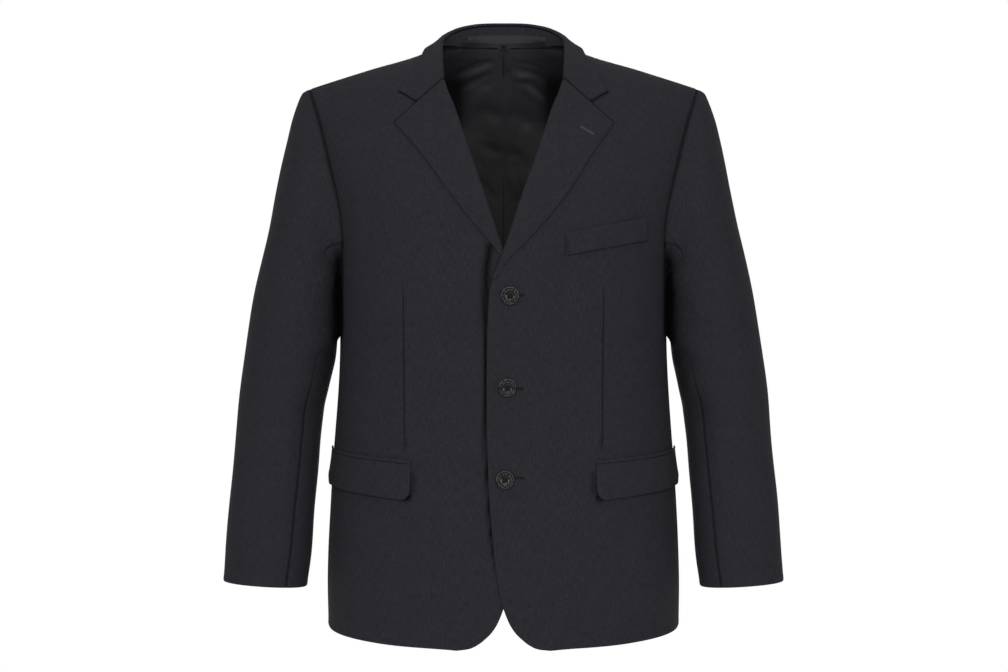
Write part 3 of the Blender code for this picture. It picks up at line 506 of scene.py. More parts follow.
def nearestOn(names, place, limit):
    # The nearest point of the named CAD nodes within the limit, or None.
    best = None
    for name in names:
        if name not in nodeTrees:
            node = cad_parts[name]
            nodeTrees[name] = BVHTree.FromPolygons([vert.co for vert in node.data.vertices],
                                                   [face.vertices for face in node.data.polygons])
        hit = nodeTrees[name].find_nearest(Vector(place), limit)
        if hit[0] is not None and (best is None or hit[3] < best[1]):
            best = hit[0], hit[3]
    return best and np.array(best[0])


def fineGrid(setting):
    # The node's points made finer, their normals, and whether the grid runs the other way round.
    points = gridOf(setting["node"], setting["rows"], setting["columns"], setting["outward"])
    points = curveThrough(points, finePlaces(points, setting["spacing"]))
    columnPlaces = finePlaces(points.transpose(1, 0, 2), setting["spacing"])
    if "fineColumn" in setting:  # closer columns by a dart, on both sides of a place out from the middle
        out = np.abs(points[len(points) // 2, :, 0])
        low, high = (np.interp(setting["fineColumn"] + step, out, np.arange(len(out)))
                     for step in (-cloth["dartReach"], cloth["dartReach"]))
        columnPlaces = np.concatenate([columnPlaces[columnPlaces < low - cloth["dartClear"]],
                                       np.linspace(low, high, cloth["dartColumns"]),
                                       columnPlaces[columnPlaces > high + cloth["dartClear"]]])
    points = curveThrough(points.transpose(1, 0, 2), columnPlaces).transpose(1, 0, 2)
    normal, middle = normalsOf(points), points.shape[1] // 2
    facing = sum(float(np.dot(normal[row, middle], setting["outward"](Vector(points[row, middle]))))
                 for row in (len(points) // 3, len(points) // 2))
    return points, -normal if facing < 0 else normal, facing < 0


def joined(points, setting):
    # Seam edges go to about halfway across the gap to the cloth they are sewn to, further where it gapes.
    moved = points.copy()
    tucked = (0, setting.get("tuckIn", 0), 0, 0)  # a sleeve's top edge goes on in behind the body's cloth
    every = slice(None)
    ends = ((1,), (0,)), ((-2,), (-1,)), ((every, 1), (every, 0)), ((every, -2), (every, -1))
    for kind, tuck, (inner, outer) in zip(setting["edges"], tucked, ends):
        if kind != "seam":
            continue
        step = points[outer] - points[inner]
        step = step / np.maximum(np.linalg.norm(step, axis=-1, keepdims=True), 1e-9)
        for place, grow in zip(moved[outer], step * setting.get("seamGrow", cloth["seamGrow"])):
            other = nearestOn(setting.get("joins", ()), place, cloth["joinReach"])
            if other is None:
                place += grow
                continue
            gap = np.linalg.norm(other - place)
            share = cloth["narrowShare"] if gap < cloth["narrowGap"] else cloth["wideShare"]
            if tuck:
                share = 1 + tuck / max(gap, cloth["leastGap"])
            place += (other - place) * share
    return moved


def makeCloth(setting):
    points, normal, backwards = fineGrid(setting)
    places = clothPlaces(points, setting.get("grain", "trunk"))
    down, across = (runningSum(np.linalg.norm(np.diff(points, axis=axis), axis=-1), axis) for axis in (0, 1))
    apart = [down, down[-1:] - down, across, across[:, -1:] - across]  # the distance to each edge, along the cloth
    # shade is painted shade: darker along seams and along the painted shadow lines
    push, shade = np.zeros(points.shape[:2]), np.zeros(points.shape[:2])
    seamDepth, seamWidth, seamDark, darkWidth = setting.get("seam", cloth["seam"])
    (turnDepth, turnWidth), (rollHeight, rollPlace, rollWidth) = cloth["turnIn"], cloth["edgeRoll"]
    for kind, distance in zip(setting["edges"], apart):  # bottom, top, first and last column
        if kind == "seam":
            push -= seamDepth * bell(distance, seamWidth)
            shade = np.maximum(shade, seamDark * bell(distance, darkWidth))
        elif kind == "free":
            push -= turnDepth * np.clip(1 - distance / turnWidth, 0, 1) ** 2
            push += rollHeight * bell(distance - rollPlace, rollWidth)
    for hollow in setting.get("hollows", ()):
        push -= lineHollow(*places, *hollow)
    # painted shadow along given lines
    for line, dark, width in setting.get("paintedShadowLines", ()):
        shade = np.maximum(shade, lineHollow(*places, line, dark, width, ends=12))
    if "edgeLift" in setting:  # the first column's edge stands off the cloth below it
        rise, reach, low, high = setting["edgeLift"]
        push += rise * bell(apart[2], reach) * np.clip((points[..., 2] - low) / cloth["fade"], 0, 1) \
            * np.clip((high - points[..., 2]) / cloth["fade"], 0, 1)
    push += setting.get("swell", cloth["swell"]) * waves(points, cloth["waveSize"], setting["seed"]) * np.clip(
        np.minimum.reduce(apart) / cloth["fade"], 0, 1)
    if "stand" in setting:  # a lining stands off its cloth, so its grooves don't reach that cloth
        rise, reach, deepest = setting["stand"]
        push += rise * np.clip(np.minimum.reduce([apart[0], apart[1], apart[3]]) / reach, 0, 1)
        push = np.maximum(push, -deepest)
    moved = joined(points, setting) + normal * push[..., None]
    for shape in setting.get("shapes", ()):  # further moves and shadows by place
        moved, shade = shape(moved, shade)
    if backwards:
        moved, shade = moved[:, ::-1], shade[:, ::-1]
        places = tuple(place[:, ::-1] for place in places)
    piece = clothObject(setting["name"], moved, places, shade, setting["wall"], setting["outer"], setting["inner"])
    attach(piece, "root")
    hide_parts(setting["node"])
    "flat" in setting
    return piece


woollen = {"rows": (2, 1), "outward": fromTrunk, "edges": ("free", "seam", "seam", "seam"), "wall": 0.0018,
           "outer": woolCloth, "inner": satinCloth, "slot": "wool"}
turned = {**woollen, "inner": undersideCloth, "edges": ("free",) * 4}  # no lining: the same cloth's underside


# ---- body panels

# Where a sleeve's inner side lies against the body: its front is drawn in, and both get painted shadow.
# Each pair says where a ramp is zero and where it is one.
sleeveTouch = {
    "clear": 0.0020, "out": 0.2050, "round": 3.0, "side": (0.250, 0.232),
    "top": (-0.262, -0.284), "foot": (-0.384, -0.354), "front": (-0.064, -0.044), "back": (-0.010, -0.024),
    "seamLoss": 0.85, "lossTop": (-0.250, -0.266), "lossFoot": (-0.44, -0.38), "edge": 0.2050,
    "dark": ((0.0, 0.0045, 0.0070, 0.010, 0.015, 0.020, 0.038), (0.97, 0.95, 0.76, 0.62, 0.47, 0.32, 0.0)),
    "spread": ((0.238, 0.265, 0.294, 0.315), (0.3, 0.45, 0.75, 1.0)),
    "darkTop": (-0.232, -0.275), "darkFoot": (-0.52, -0.36), "darkBack": (0.06, 0.0),
    "beside": (0.1962, 0.1998), "besideDark": 0.95, "besideTop": (-0.235, -0.262), "besideFoot": (-0.375, -0.345),
}


def rampOf(values, zero, one):
    share = np.clip((values - zero) / (one - zero), 0, 1)
    return share * share * (3 - 2 * share)


def ramps(names, *values):
    # The product of ramps named in sleeveTouch, each over its own values.
    return np.prod([rampOf(value, *sleeveTouch[name]) for name, value in zip(names, values)], axis=0)


def againstBody(sign):
    def shape(points, shade):
        x, y, z = points[..., 0] * sign, points[..., 1], points[..., 2]
        held = ramps(("top", "foot", "front", "back", "side"), z, z, y, y, x)
        body = sleeveTouch["out"] - sleeveTouch["round"] * y ** 2 + sleeveTouch["clear"]
        points = points.copy()
        points[..., 0] -= sign * held * np.maximum(x - body, 0)
        x = points[..., 0] * sign
        # the seams' painted shade fades out here, and a painted shadow darkens the sleeve towards the body
        shade = shade * (1 - sleeveTouch["seamLoss"] * ramps(("lossTop", "lossFoot"), z, z))
        dark = np.interp((x - sleeveTouch["edge"]) / np.interp(-z, *sleeveTouch["spread"]), *sleeveTouch["dark"])
        return points, np.maximum(shade, dark * ramps(("darkTop", "darkFoot", "darkBack"), z, z, y))
    return shape


def besideSleeve(sign):
    def shape(points, shade):
        x, z = points[..., 0] * sign, points[..., 2]
        # painted shadow on the body's side next to the sleeve
        dark = sleeveTouch["besideDark"] * ramps(("beside", "besideTop", "besideFoot"), x, z, z)
        return points, np.maximum(shade, dark)
    return shape


# The hem hangs a little lower than the solids', most of all at the fronts' round corners.
hem = {"drop": 0.0028, "sideDrop": 0.0021, "side": (0.060, 0.150), "from": (-0.62, -0.70),
       "corner": 0.0070, "cornerFrom": (-0.560, -0.620), "cornerSide": (0.034, 0.004)}


def lowered(points, shade):
    x, z = np.abs(points[..., 0]), points[..., 2]
    points = points.copy()
    points[..., 2] -= (hem["drop"] + hem["sideDrop"] * rampOf(x, *hem["side"])) * rampOf(z, *hem["from"])
    corner = rampOf(z, *hem["cornerFrom"]) * rampOf(x, *hem["cornerSide"])
    points[..., 2] -= hem["corner"] * corner * (points[..., 1] < 0)
    return points, shade


fronts = {
    "spacing": 0.0042, "cut": {"flat": (0.280, 0.790), "area": 0.181}, "rightShare": 0.8,
    "dart": ((0.1235, -0.2915), (0.1230, -0.400), (0.1215, -0.501)), "dartSize": (0.0012, 0.0014),
    # dartDark: the darkness and width of a painted shade along the dart
    "dartDark": (0.62, 0.0010), "dartRidge": (0.004, -0.0004, 0.004),  # out from the dart, depth, width
    "folds": (  # line on the cloth, depth, width
        (((0.165, -0.135), (0.172, -0.205), (0.176, -0.270)), 0.0016, 0.012),
        (((0.060, -0.325), (0.095, -0.345), (0.135, -0.350)), 0.0007, 0.012),
        (((0.040, -0.300), (0.070, -0.270), (0.120, -0.235)), 0.0006, 0.014),
        (((0.150, -0.380), (0.185, -0.360), (0.215, -0.330)), 0.0012, 0.010),
        (((0.150, -0.420), (0.190, -0.425), (0.230, -0.410)), 0.0010, 0.012),
        (((0.070, -0.560), (0.075, -0.640), (0.085, -0.715)), -0.0012, 0.022),
        (((0.175, -0.580), (0.185, -0.640), (0.190, -0.705)), -0.0014, 0.020),
        (((0.125, -0.570), (0.130, -0.640), (0.135, -0.710)), 0.0012, 0.018),
    ),
    "dimple": (((-0.0185, -0.245), (-0.0215, -0.300), (-0.0215, -0.355)), 0.0030, 0.0055),
    # byFlap: a painted shadow on the front by the flap's front edge, as line, darkness and width
    "byFlap": ((((0.1112, -0.519), (0.1118, -0.534), (0.1123, -0.5446), (0.1158, -0.5533), (0.1236, -0.5580)),
                0.97, 0.0024),),
    # the painted shadow on the right front beside the overlapping edge
    "underEdge": ((((-0.0150, -0.240), (-0.0205, -0.275), (-0.0218, -0.315), (-0.0215, -0.350)), 0.80, 0.0050),
                  (((-0.0210, -0.290), (-0.0218, -0.420), (-0.0213, -0.500), (-0.0155, -0.589), (-0.0060, -0.645)),
                   0.85, 0.0026)),
}
for side, sign in (("left", 1), ("right", -1)):
    hollows = mirrored(fronts["folds"], sign, 1.0 if sign > 0 else fronts["rightShare"])
    dart = [(sign * x, z) for x, z in fronts["dart"]]
    beside, *ridge = fronts["dartRidge"]
    hollows += [(dart, *fronts["dartSize"]), ([(x + sign * beside, z) for x, z in dart], *ridge)]
    paintedShadowLines = [(dart, *fronts["dartDark"]), *mirrored(fronts["byFlap"], sign)]
    if side == "right":  # a painted shadow beside the overlapping edge, and a dimple at the top button
        hollows.append(fronts["dimple"])
        paintedShadowLines += fronts["underEdge"]
    makeCloth({
        **woollen, **fronts["cut"], "name": f"frontCloth.{side}", "node": f"front_{side}",
        "columns": (0, sign), "spacing": fronts["spacing"], "seed": 1 + sign, "seam": (0.0011, 0.0020, 0.85, 0.0019),
        "fineColumn": fronts["dart"][1][0], "joins": (f"side_{side}", f"back_{side}", f"top_sleeve_{side}"),
        "edges": ("free", "seam", "free", "seam"), "hollows": hollows, "paintedShadowLines": paintedShadowLines,
        "shapes": (besideSleeve(sign), lowered),
        **({"edgeLift": (0.0016, 0.007, -0.62, -0.24)} if side == "left" else {}),
    })

backs = {
    "spacing": 0.0045, "cut": {"flat": (0.275, 0.755), "area": 0.163}, "rightShare": 0.75,
    "folds": (
        (((0.020, -0.110), (0.070, -0.130), (0.120, -0.120)), 0.0010, 0.014),
        (((0.135, -0.110), (0.150, -0.180), (0.160, -0.260)), 0.0022, 0.014),
        (((0.155, -0.330), (0.110, -0.370), (0.060, -0.385)), 0.0014, 0.013),
        (((0.160, -0.420), (0.120, -0.425), (0.080, -0.415)), 0.0012, 0.012),
        (((0.070, -0.480), (0.080, -0.590), (0.085, -0.700)), 0.0016, 0.020),
        (((0.135, -0.500), (0.140, -0.600), (0.145, -0.700)), -0.0014, 0.022),
        (((0.030, -0.020), (0.080, -0.035), (0.130, -0.050)), 0.0008, 0.012),
    ),
}
sides = {"spacing": 0.0045, "cut": {"flat": (0.100, 0.448), "area": 0.0378}}
for side, sign in (("left", 1), ("right", -1)):
    makeCloth({
        **woollen, **backs["cut"], "name": f"backCloth.{side}", "node": f"back_{side}",
        "columns": (0, sign), "spacing": backs["spacing"], "seed": 5 + sign,
        "joins": (f"side_{side}", f"front_{side}", f"top_sleeve_{side}", f"under_sleeve_{side}",
                  "back_right" if sign > 0 else "back_left"),
        "hollows": mirrored(backs["folds"], sign, 1.0 if sign > 0 else backs["rightShare"]), "shapes": (lowered,),
    })
    makeCloth({
        **woollen, **sides["cut"], "name": f"sideCloth.{side}", "node": f"side_{side}",
        "columns": (1, 1), "spacing": sides["spacing"], "seed": 9 + sign,
        "joins": (f"front_{side}", f"back_{side}", f"top_sleeve_{side}", f"under_sleeve_{side}"),
        "shapes": (besideSleeve(sign), lowered),
    })
print("body panels done")

# ---- sleeves; a fold runs through places round the arm and by height, in metres

sleeves = {
    "spacing": 0.0042, "rightShare": 0.85, "tuckIn": 0.0022, "seamGrow": 0.0006,
    "topCut": {"flat": (0.300, 0.635), "area": 0.150}, "underCut": {"flat": (0.180, 0.495), "area": 0.0525},
    "topFolds": (
        (((-0.150, -0.350), (-0.115, -0.372), (-0.070, -0.378)), 0.0010, 0.010),
        (((-0.150, -0.400), (-0.110, -0.412), (-0.060, -0.408)), 0.0012, 0.010),
        (((-0.145, -0.300), (-0.110, -0.330), (-0.085, -0.345)), 0.0008, 0.010),
        (((0.130, -0.350), (0.080, -0.372), (0.030, -0.372)), 0.0026, 0.011),
        (((0.135, -0.395), (0.085, -0.412), (0.025, -0.405)), 0.0030, 0.011),
        (((0.135, -0.440), (0.090, -0.452), (0.040, -0.445)), 0.0020, 0.010),
        (((0.110, -0.560), (0.070, -0.575), (0.020, -0.570)), 0.0010, 0.012),
        (((-0.124, -0.455), (-0.123, -0.530), (-0.118, -0.600)), -0.0008, 0.004),
    ),
    "underFolds": (
        (((-0.080, -0.350), (-0.030, -0.360), (0.020, -0.350)), 0.0010, 0.010),
        (((-0.070, -0.398), (-0.020, -0.405), (0.040, -0.400)), 0.0014, 0.010),
        (((-0.060, -0.440), (0.000, -0.450), (0.050, -0.440)), 0.0012, 0.010),
        (((-0.070, -0.500), (-0.055, -0.530), (-0.050, -0.560)), 0.0010, 0.006),
    ),
}
for side, sign in (("left", 1), ("right", -1)):
    for part, other in (("top", "under"), ("under", "top")):
        makeCloth({
            **woollen, **sleeves[f"{part}Cut"], "name": f"{part}SleeveCloth.{side}",
            "node": f"{part}_sleeve_{side}", "columns": (1, -1 if part == "top" else 1),
            "outward": fromSleeve(sign), "seed": 12 + sign,
            "hollows": mirrored(sleeves[f"{part}Folds"], 1, 1.0 if sign > 0 else sleeves["rightShare"]),
            "grain": ("sleeve", sign, part == "under"), "shapes": (againstBody(sign),),
            "joins": (f"front_{side}", f"back_{side}", f"side_{side}", f"{other}_sleeve_{side}"),
            "seam": (0.0009, 0.0018, 0.55, 0.0013),
            **{key: sleeves[key] for key in ("spacing", "tuckIn", "seamGrow")},
        })
print("sleeves done")

# ---- lapels and collar

lapels = {"spacing": 0.0028, "swell": 0.0003, "flat": (0.092, 0.280), "areas": {"left": 0.0143, "right": 0.0124}}
for side, sign in (("left", 1), ("right", -1)):
    makeCloth({
        **turned, "name": f"lapelCloth.{side}", "node": f"lapel_{side}", "columns": (0, sign),
        "outward": lambda place: Vector((0, -1, 0)), "edges": ("free", "seam", "laid", "free"),
        "spacing": lapels["spacing"], "grain": "panel", "seed": 20 + sign, "swell": lapels["swell"],
        "joins": ("top_collar",), "flat": lapels["flat"], "area": lapels["areas"][side],
        "restsOn": [f"frontCloth.{side}"], "held": "folded",
    })

makeCloth({
    **turned, "name": "topCollarCloth", "node": "top_collar", "rows": (0, 1), "columns": (2, -1),
    "outward": lambda place: Vector((place.x, place.y * 0.4 + 0.01, 0.05)).normalized(),
    "edges": ("seam", "seam", "laid", "free"), "spacing": 0.0028, "grain": "panel", "seed": 30, "swell": 0.0003,
    "joins": ("lapel_left", "lapel_right"), "flat": (0.480, 0.075), "area": 0.0232, "held": "folded",
    "restsOn": ["frontCloth.left", "frontCloth.right", "backCloth.left", "backCloth.right"],
})
makeCloth({
    **woollen, "name": "collarStandCloth", "node": "collar_stand", "rows": (0, 1), "columns": (2, 1),
    "outer": undersideCloth, "inner": woolCloth, "edges": ("laid",) * 4,
    "spacing": 0.003, "grain": "panel", "seed": 31, "swell": 0.0, "flat": (0.252, 0.027), "area": 0.0044,
})
print("collar and lapels done")

# ---- pockets

makeCloth({
    **turned, "name": "breastWeltCloth", "node": "breast_welt", "columns": (0, 1),
    "spacing": 0.0022, "seed": 40, "swell": 0.0001,
    "flat": (0.111, 0.0285), "area": 0.0031, "held": "laid", "restsOn": ["frontCloth.left"],
})
# the front edge nearly upright and the lower front corner round; the edge stands off the front
flapEdge = {"top": 0.1124, "lean": 0.040, "round": 0.0115, "foot": -0.5568, "cornerHeight": -0.5540,
            "straightFrom": 0.1400, "flatter": 0.0040, "fadeOut": 0.030, "lift": 0.0012}


def roundFlap(sign):
    def shape(points, shade):
        x, z = points[..., 0] * sign, points[..., 2]
        rows, columns = x.shape
        goalX, goalZ = x.copy(), z.copy()
        corner, top, foot, bend = flapEdge["cornerHeight"], z[-1, 0], flapEdge["foot"], flapEdge["round"]
        goalZ[:, 0] = np.linspace(corner, top, rows)  # the front edge
        rise = np.maximum(0.0, bend - (goalZ[:, 0] - foot))
        goalX[:, 0] = flapEdge["top"] + flapEdge["lean"] * (top - goalZ[:, 0]) + bend - np.sqrt(bend ** 2 - rise ** 2)
        start, far = goalX[0, 0], np.argmax(x[0] > flapEdge["straightFrom"])
        share = np.arange(1, far) / far  # the lower edge
        goalX[0, 1:far] = start + (x[0, far] - start) * share
        rise = np.maximum(0.0, bend - (goalX[0, 1:far] - start) - flapEdge["flatter"])
        goalZ[0, 1:far] = foot + (z[0, far] - foot) * share + bend - np.sqrt(bend ** 2 - rise ** 2)
        side = np.clip(1 - (x - x[:, :1]) / flapEdge["fadeOut"], 0, 1)
        up = np.linspace(1, 0, rows)[:, None] * np.ones_like(x)
        moved = points.copy()
        slope = (points[:, 3, 1] - points[:, 0, 1]) / (x[:, 3] - x[:, 0])
        for axis, goal, now in ((0, goalX, x), (2, goalZ, z)):
            gap = goal - now
            shift = side * gap[:, :1] + up * gap[:1] - side * up * gap[0, 0]
            moved[..., axis] += shift * (sign if axis == 0 else 1)
            if axis == 0:
                moved[..., 1] += shift * slope[:, None]
        moved[..., 1] -= flapEdge["lift"] * side ** 4 * up
        return moved, shade
    return shape


for side, sign in (("left", 1), ("right", -1)):
    jet = makeCloth({
        **turned, "name": f"jetCloth.{side}", "node": f"jet_{side}", "columns": (0, sign),
        "spacing": 0.0014, "seed": 45, "swell": 0.0,
    })
    makeCloth({
        **woollen, "name": f"flapCloth.{side}", "node": f"flap_{side}", "columns": (0, sign),
        "edges": ("free", "laid", "free", "free"), "spacing": 0.0022, "seed": 42 + sign,
        "swell": 0.0004, "shapes": (roundFlap(sign),), "flat": (0.160, 0.044), "area": 0.0066,
        "restsOn": [f"frontCloth.{side}"], "withPieces": [jet],
    })
print("pockets done")

# ---- lining and neck band

liningSheets = {
    "spacing": 0.0032, "wall": 0.0012, "cut": {"flat": (0.262, 0.735), "area": 0.152},
    "stand": (0.0016, 0.008, 0.0005),
    # the top edge, behind the collar's stand: how far down it fades, how far out it reaches, its moves and painted
    # shade
    "top": {"fade": 0.012, "reach": (0.062, 0.052), "forward": 0.0034, "slope": (0.068, 0.010), "rise": 0.0048,
            "dark": 0.50},
    # painted shade beside the neck opening, then deep inside: how dark, where out and up it starts and is full
    "sideways": (0.80, (0.038, 0.060), (0.005, -0.035)), "deep": (0.50, (-0.050, -0.110)),
    # painted shadow lines down the middle, where the two halves meet: line, darkness, width
    "pleat": ((((0, 0.020), (0, -0.012)), 0.80, 0.0016), (((0, -0.108), (0, -0.240), (0, -0.700)), 0.97, 0.0014)),
    "leftFolds": (
        (((0.030, -0.0175), (0.044, -0.0280), (0.058, -0.0430)), 0.0030, 0.0034),
        (((0.024, -0.0240), (0.038, -0.0350), (0.052, -0.0520)), -0.0018, 0.0045),
        (((0.010, 0.012), (0.034, 0.009), (0.060, 0.002)), 0.0016, 0.0028),
        (((0.014, -0.018), (0.030, -0.020), (0.050, -0.016)), 0.0015, 0.0030),
        (((0.006, 0.006), (0.030, -0.002), (0.064, -0.012)), 0.0026, 0.0045),
        (((0.008, -0.006), (0.020, -0.012), (0.040, -0.010)), -0.0020, 0.0040),
        (((0.004, -0.052), (0.022, -0.066), (0.042, -0.083)), 0.0024, 0.010),
        (((-0.006, -0.1165), (0.0186, -0.1175), (0.037, -0.146)), 0.0013, 0.0070),
        (((0.004, -0.135), (0.014, -0.150), (0.020, -0.180)), -0.0016, 0.008),
    ),
    "rightFolds": (
        (((-0.006, 0.0140), (-0.043, 0.0040), (-0.078, -0.0030)), 0.0034, 0.0040),
        (((-0.008, 0.0050), (-0.040, -0.0060), (-0.070, -0.0130)), -0.0014, 0.0045),
        (((-0.004, 0.0100), (-0.024, 0.0120), (-0.060, 0.0060)), 0.0014, 0.0028),
        (((-0.006, -0.0140), (-0.024, -0.0230), (-0.040, -0.0240)), 0.0015, 0.0032),
        (((-0.009, -0.0050), (-0.043, -0.0190), (-0.064, -0.0250)), 0.0036, 0.0042),
        (((-0.012, -0.0250), (-0.030, -0.0400), (-0.044, -0.0620)), -0.0014, 0.0080),
        (((-0.036, -0.052), (-0.014, -0.062), (0.006, -0.064)), 0.0024, 0.0100),
        (((-0.036, -0.100), (-0.014, -0.112), (0.006, -0.1175)), 0.0012, 0.0070),
        (((-0.042, -0.144), (-0.020, -0.164), (-0.004, -0.186)), 0.0012, 0.0070),
    ),
}


def liningShadow(points, shade):
    # The top edge moves forward and up; painted shade darkens it, the sides by the neck opening and the lining deep
    # inside.
    x, z = np.abs(points[..., 0]), points[..., 2]
    points, top = points.copy(), liningSheets["top"]
    near = np.clip(1 - (z[-1:] - z) / top["fade"], 0, 1) ** 2 * rampOf(x, *top["reach"])
    slope, middle = top["slope"]
    points[..., 1] -= near * (top["forward"] + slope * np.maximum(x - middle, 0))
    points[..., 2] += near * top["rise"]
    sideDark, out, up = liningSheets["sideways"]
    deepDark, down = liningSheets["deep"]
    darks = top["dark"] * near, sideDark * rampOf(x, *out) * rampOf(z, *up), deepDark * rampOf(z, *down)
    return points, np.maximum.reduce([shade, *darks])


for side, sign in (("left", 1), ("right", -1)):
    makeCloth({
        **liningSheets["cut"], "name": f"backLiningCloth.{side}", "node": f"back_lining_{side}", "rows": (2, 1),
        "columns": (0, sign), "outward": lambda place: -fromTrunk(place), "spacing": liningSheets["spacing"],
        "edges": ("free", "seam", "seam", "laid"), "seam": (0.0, 0.002, 0.0, 0.001), "seed": 50 + sign,
        "joins": ("collar_stand", "back_lining_right" if sign > 0 else "back_lining_left"), "swell": 0.0006,
        "hollows": liningSheets[f"{side}Folds"], "paintedShadowLines": liningSheets["pleat"], "shapes": (liningShadow,),
        "stand": liningSheets["stand"], "wall": liningSheets["wall"], "outer": satinCloth, "inner": satinCloth,
        "slot": "lining",
    })
makeCloth({
    "name": "neckBandCloth", "node": "neck_band", "rows": (0, 1), "columns": (2, 1),
    "outward": lambda place: -fromTrunk(place), "edges": ("free",) * 4, "spacing": 0.0015,
    "wall": 0.0012, "outer": plainBand, "inner": plainBand, "grain": "panel", "seed": 60, "swell": 0.0,
    "flat": (0.109, 0.013), "area": 0.00113, "slot": "band", "held": "laid",
})
print("lining done")

# ---- stitches and buttonholes

def onCloth(piece, places, lift):
    # The points of a piece straight behind places given as across and up, as seen from the front.
    tree = BVHTree.FromObject(piece, bpy.context.evaluated_depsgraph_get())
    found = [tree.ray_cast(Vector((x, -1, z)), Vector((0, 1, 0))) for x, z in places]
    return [hit + facing * lift for hit, facing, *rest in found]


def stitch(name, path, radius, look, closed=False):
    # A round thread along the path, made of rings joined by faces.
    path, around = [Vector(point) for point in path], 8
    shape, rings, side = bmesh.new(), [], Vector((0.3, -1, 0.2))
    for index, point in enumerate(path):
        before = path[index - 1] if index or closed else point
        after = path[(index + 1) % len(path)] if index + 1 < len(path) or closed else point
        along = (after - before).normalized()
        side = (side - along * side.dot(along)).normalized()
        other = along.cross(side)
        rings.append([shape.verts.new(point + (side * math.cos(turn) + other * math.sin(turn)) * radius)
                      for turn in (2 * math.pi * step / around for step in range(around))])
    for first, second in zip(rings, rings[1:] + ([rings[0]] if closed else [])):
        for step in range(around):
            shape.faces.new((first[step], first[(step + 1) % around], second[(step + 1) % around], second[step]))
    if not closed:
        shape.faces.new(rings[0][::-1])
        shape.faces.new(rings[-1])
    bmesh.ops.recalc_face_normals(shape, faces=shape.faces)
    mesh = bpy.data.meshes.new(name)
    shape.to_mesh(mesh)
    shape.free()
    mesh.materials.append(look)
    mesh.shade_smooth()
    piece = newObject(name, mesh)
    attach(piece, "root")
    return piece


def loopAround(start, end, half, steps=7):
    # Places of a long loop with round ends between two places.
    start, end = Vector(start), Vector(end)
    along = (end - start).normalized()
    side = Vector((-along.y, along.x))
    ends = []
    for middle, sign in ((end, 1), (start, -1)):
        for step in range(steps):
            turn = math.pi * (step / (steps - 1) - 0.5)
            ends.append(middle + (along * math.cos(turn) + side * math.sin(turn)) * sign * half)
    return [tuple(place) for place in ends]


def evenly(first, second, count, last=False):
    # Places from the first towards the second in equal steps.
    return [tuple(np.add(first, np.multiply(np.subtract(second, first), share / count)))
            for share in range(count + last)]


def between(places, step):
    # More places along a closed run, so that a thread follows the cloth.
    full = []
    for first, second in zip(places, places[1:] + places[:1]):
        full += evenly(first, second, max(1, round(math.dist(first, second) / step)))
    return full


buttonholes = {
    "half": 0.0008, "radius": 0.0007, "step": 0.0015, "lift": 0.0001,
    "front": (("top", (0.0120, -0.3086), (0.0240, -0.3086)), ("middle", (0.0085, -0.4212), (0.0232, -0.4212)),
              ("bottom", (0.0055, -0.5290), (0.0240, -0.5290))),
    "lapel": ((0.0945, -0.1040), (0.1090, -0.1125)),
}
for name, start, end in (*buttonholes["front"], ("lapel", *buttonholes["lapel"])):
    piece, look = ("lapelCloth.left", holeThread) if name == "lapel" else ("frontCloth.left", silkThread)
    places = between(loopAround(start, end, buttonholes["half"]), buttonholes["step"])
    path = onCloth(bpy.data.objects[piece], places, buttonholes["lift"])
    stitch(f"buttonhole.{name}", path, buttonholes["radius"], look, True)

tacks = {
    "radius": 0.00035, "middle": (0.0058, -0.0134), "reach": 0.0028, "lift": 0.0005,
    "weltEnd": (((0.0768, -0.2400), (0.0766, -0.2580)), ((0.0782, -0.2398), (0.0780, -0.2578))),
    "weltRadius": 0.00022, "weltLift": 0.0001,
}
liningLeft, welt = bpy.data.objects["backLiningCloth.left"], bpy.data.objects["breastWeltCloth"]
for number, slope in enumerate((1, -1)):
    places = [(tacks["middle"][0] + share * tacks["reach"], tacks["middle"][1] + share * slope * tacks["reach"])
              for share in (-1, -0.5, 0, 0.5, 1)]
    stitch(f"liningTack.{number}", onCloth(liningLeft, places, tacks["lift"]), tacks["radius"], silkThread)
for number, (start, end) in enumerate(tacks["weltEnd"]):
    path = onCloth(welt, evenly(start, end, 8, last=True), tacks["weltLift"])
    stitch(f"weltStitch.{number}", path, tacks["weltRadius"], silkThread)
print("stitches done")

# ---- buttons; one is modelled, then copied to each place

buttonShape = {
    "radius": 0.011, "thickness": 0.0034, "around": 72,
    # inset, then up or down, one ring after another from the rim to the middle
    "rings": ((0.0006, 0.0003), (0.0009, 0.0000), (0.0009, -0.0011), (0.0008, 0.0), (0.0007, 0.0009), (0.0008, 0.0),
              (0.0010, -0.0012), (0.0018, -0.0002)),
    "edge": 0.00034, "edgeSteps": 3, "edgeAngle": 18, "smoothAngle": 40,
    "holeRadius": 0.00085, "holeSides": 16, "holeReach": 0.0021 / math.sqrt(2),  # out along each axis
    "threadRadius": 0.00042, "threadSunk": 0.0016, "threadLift": 0.0004,
    # a thread's arch: a share of the holes' reach, and how high
    "arch": ((-1, -0.0022), (-1, 0.0), (-0.85, 0.0007), (0, 0.0009), (0.85, 0.0007), (1, 0.0), (1, -0.0022)),
}


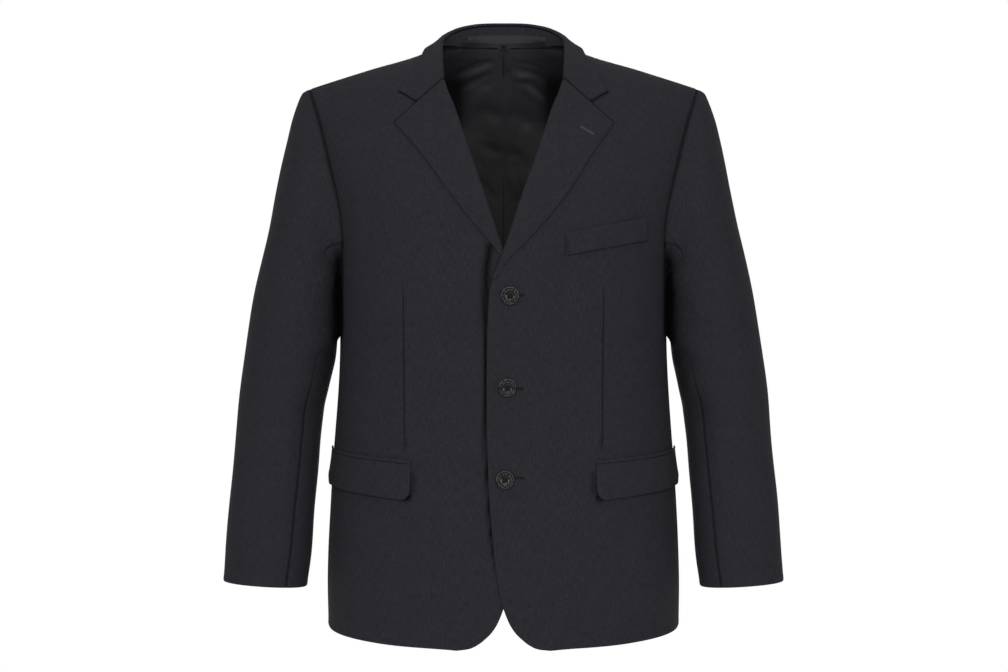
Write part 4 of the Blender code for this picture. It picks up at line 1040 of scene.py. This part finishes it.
def modelButton():
    bpy.ops.object.select_all(action="DESELECT")
    thick = buttonShape["thickness"]
    bpy.ops.mesh.primitive_cylinder_add(vertices=buttonShape["around"], radius=buttonShape["radius"],
                                        depth=thick, location=(0, 0, thick / 2), end_fill_type="NGON")
    button = bpy.context.object
    bpy.ops.object.transform_apply(location=True)
    bpy.ops.object.mode_set(mode="EDIT")
    bpy.ops.mesh.select_mode(type="FACE")
    bpy.ops.mesh.select_all(action="DESELECT")
    bpy.ops.object.mode_set(mode="OBJECT")
    for face in button.data.polygons:
        face.select = face.normal.z > 0.9
    bpy.ops.object.mode_set(mode="EDIT")
    for inset, rise in buttonShape["rings"]:
        bpy.ops.mesh.inset(thickness=inset, depth=0)
        bpy.ops.transform.translate(value=(0, 0, rise))
    bpy.ops.object.mode_set(mode="OBJECT")
    soft = button.modifiers.new("soft", "BEVEL")
    soft.width, soft.segments = buttonShape["edge"], buttonShape["edgeSteps"]
    soft.limit_method, soft.angle_limit = "ANGLE", math.radians(buttonShape["edgeAngle"])
    bpy.ops.object.modifier_apply(modifier="soft")
    reach = buttonShape["holeReach"]
    for x, y in ((1, 1), (-1, 1), (-1, -1), (1, -1)):
        bpy.ops.object.select_all(action="DESELECT")
        bpy.ops.mesh.primitive_cylinder_add(vertices=buttonShape["holeSides"], radius=buttonShape["holeRadius"],
                                            depth=thick * 3, location=(x * reach, y * reach, thick / 2))
        drill = bpy.context.object
        bpy.context.view_layer.objects.active = button
        hole = button.modifiers.new("hole", "BOOLEAN")
        hole.operation, hole.solver, hole.object = "DIFFERENCE", "EXACT", drill
        bpy.ops.object.modifier_apply(modifier="hole")
        bpy.data.objects.remove(drill, do_unlink=True)
    button.select_set(True)
    bpy.ops.object.shade_smooth_by_angle(angle=math.radians(buttonShape["smoothAngle"]))
    button.data.materials.clear()
    button.data.materials.append(horn)
    return button


def buttonPlace(node):
    # Where the CAD button sits: its foot and the way it faces.
    verts = np.array([tuple(vert.co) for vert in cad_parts[node].data.vertices])
    middle = (verts.min(axis=0) + verts.max(axis=0)) / 2
    out = np.linalg.eigh(np.cov((verts - middle).T))[1][:, 0]
    out = out if out[1] < 0 else -out
    foot = middle + out * ((verts - middle) @ out).min()
    return Matrix.Translation(foot) @ Vector(out).to_track_quat("Z", "Y").to_matrix().to_4x4()


firstButton = modelButton()
reach, top = buttonShape["holeReach"], buttonShape["thickness"] - buttonShape["threadSunk"]
for name in ("top", "middle", "bottom"):
    place = buttonPlace(f"button_{name}")
    button = newObject(f"button.{name}", firstButton.data.copy())
    button.data.transform(place)
    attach(button, "root")
    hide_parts(f"button_{name}")
    for number, slope in enumerate((1, -1)):
        lift = buttonShape["threadLift"] * number
        path = [place @ Vector((share * reach, share * slope * reach, top + rise + lift))
                for share, rise in buttonShape["arch"]]
        stitch(f"buttonThread.{name}.{number}", path, buttonShape["threadRadius"], silkThread)
bpy.data.objects.remove(firstButton, do_unlink=True)
print("buttons done")

# ---- floor

bpy.ops.object.select_all(action="DESELECT")
bpy.ops.mesh.primitive_circle_add(vertices=96, radius=studio["floorRadius"], fill_type="NGON",
                                  location=(0, 0, studio["floorHeight"]))
floor = bpy.context.object
floor.name = "floor"
floor.data.materials.append(newMaterial("paleFloor", Roughness=0.9, Base_Color=studio["floorColour"])[0])
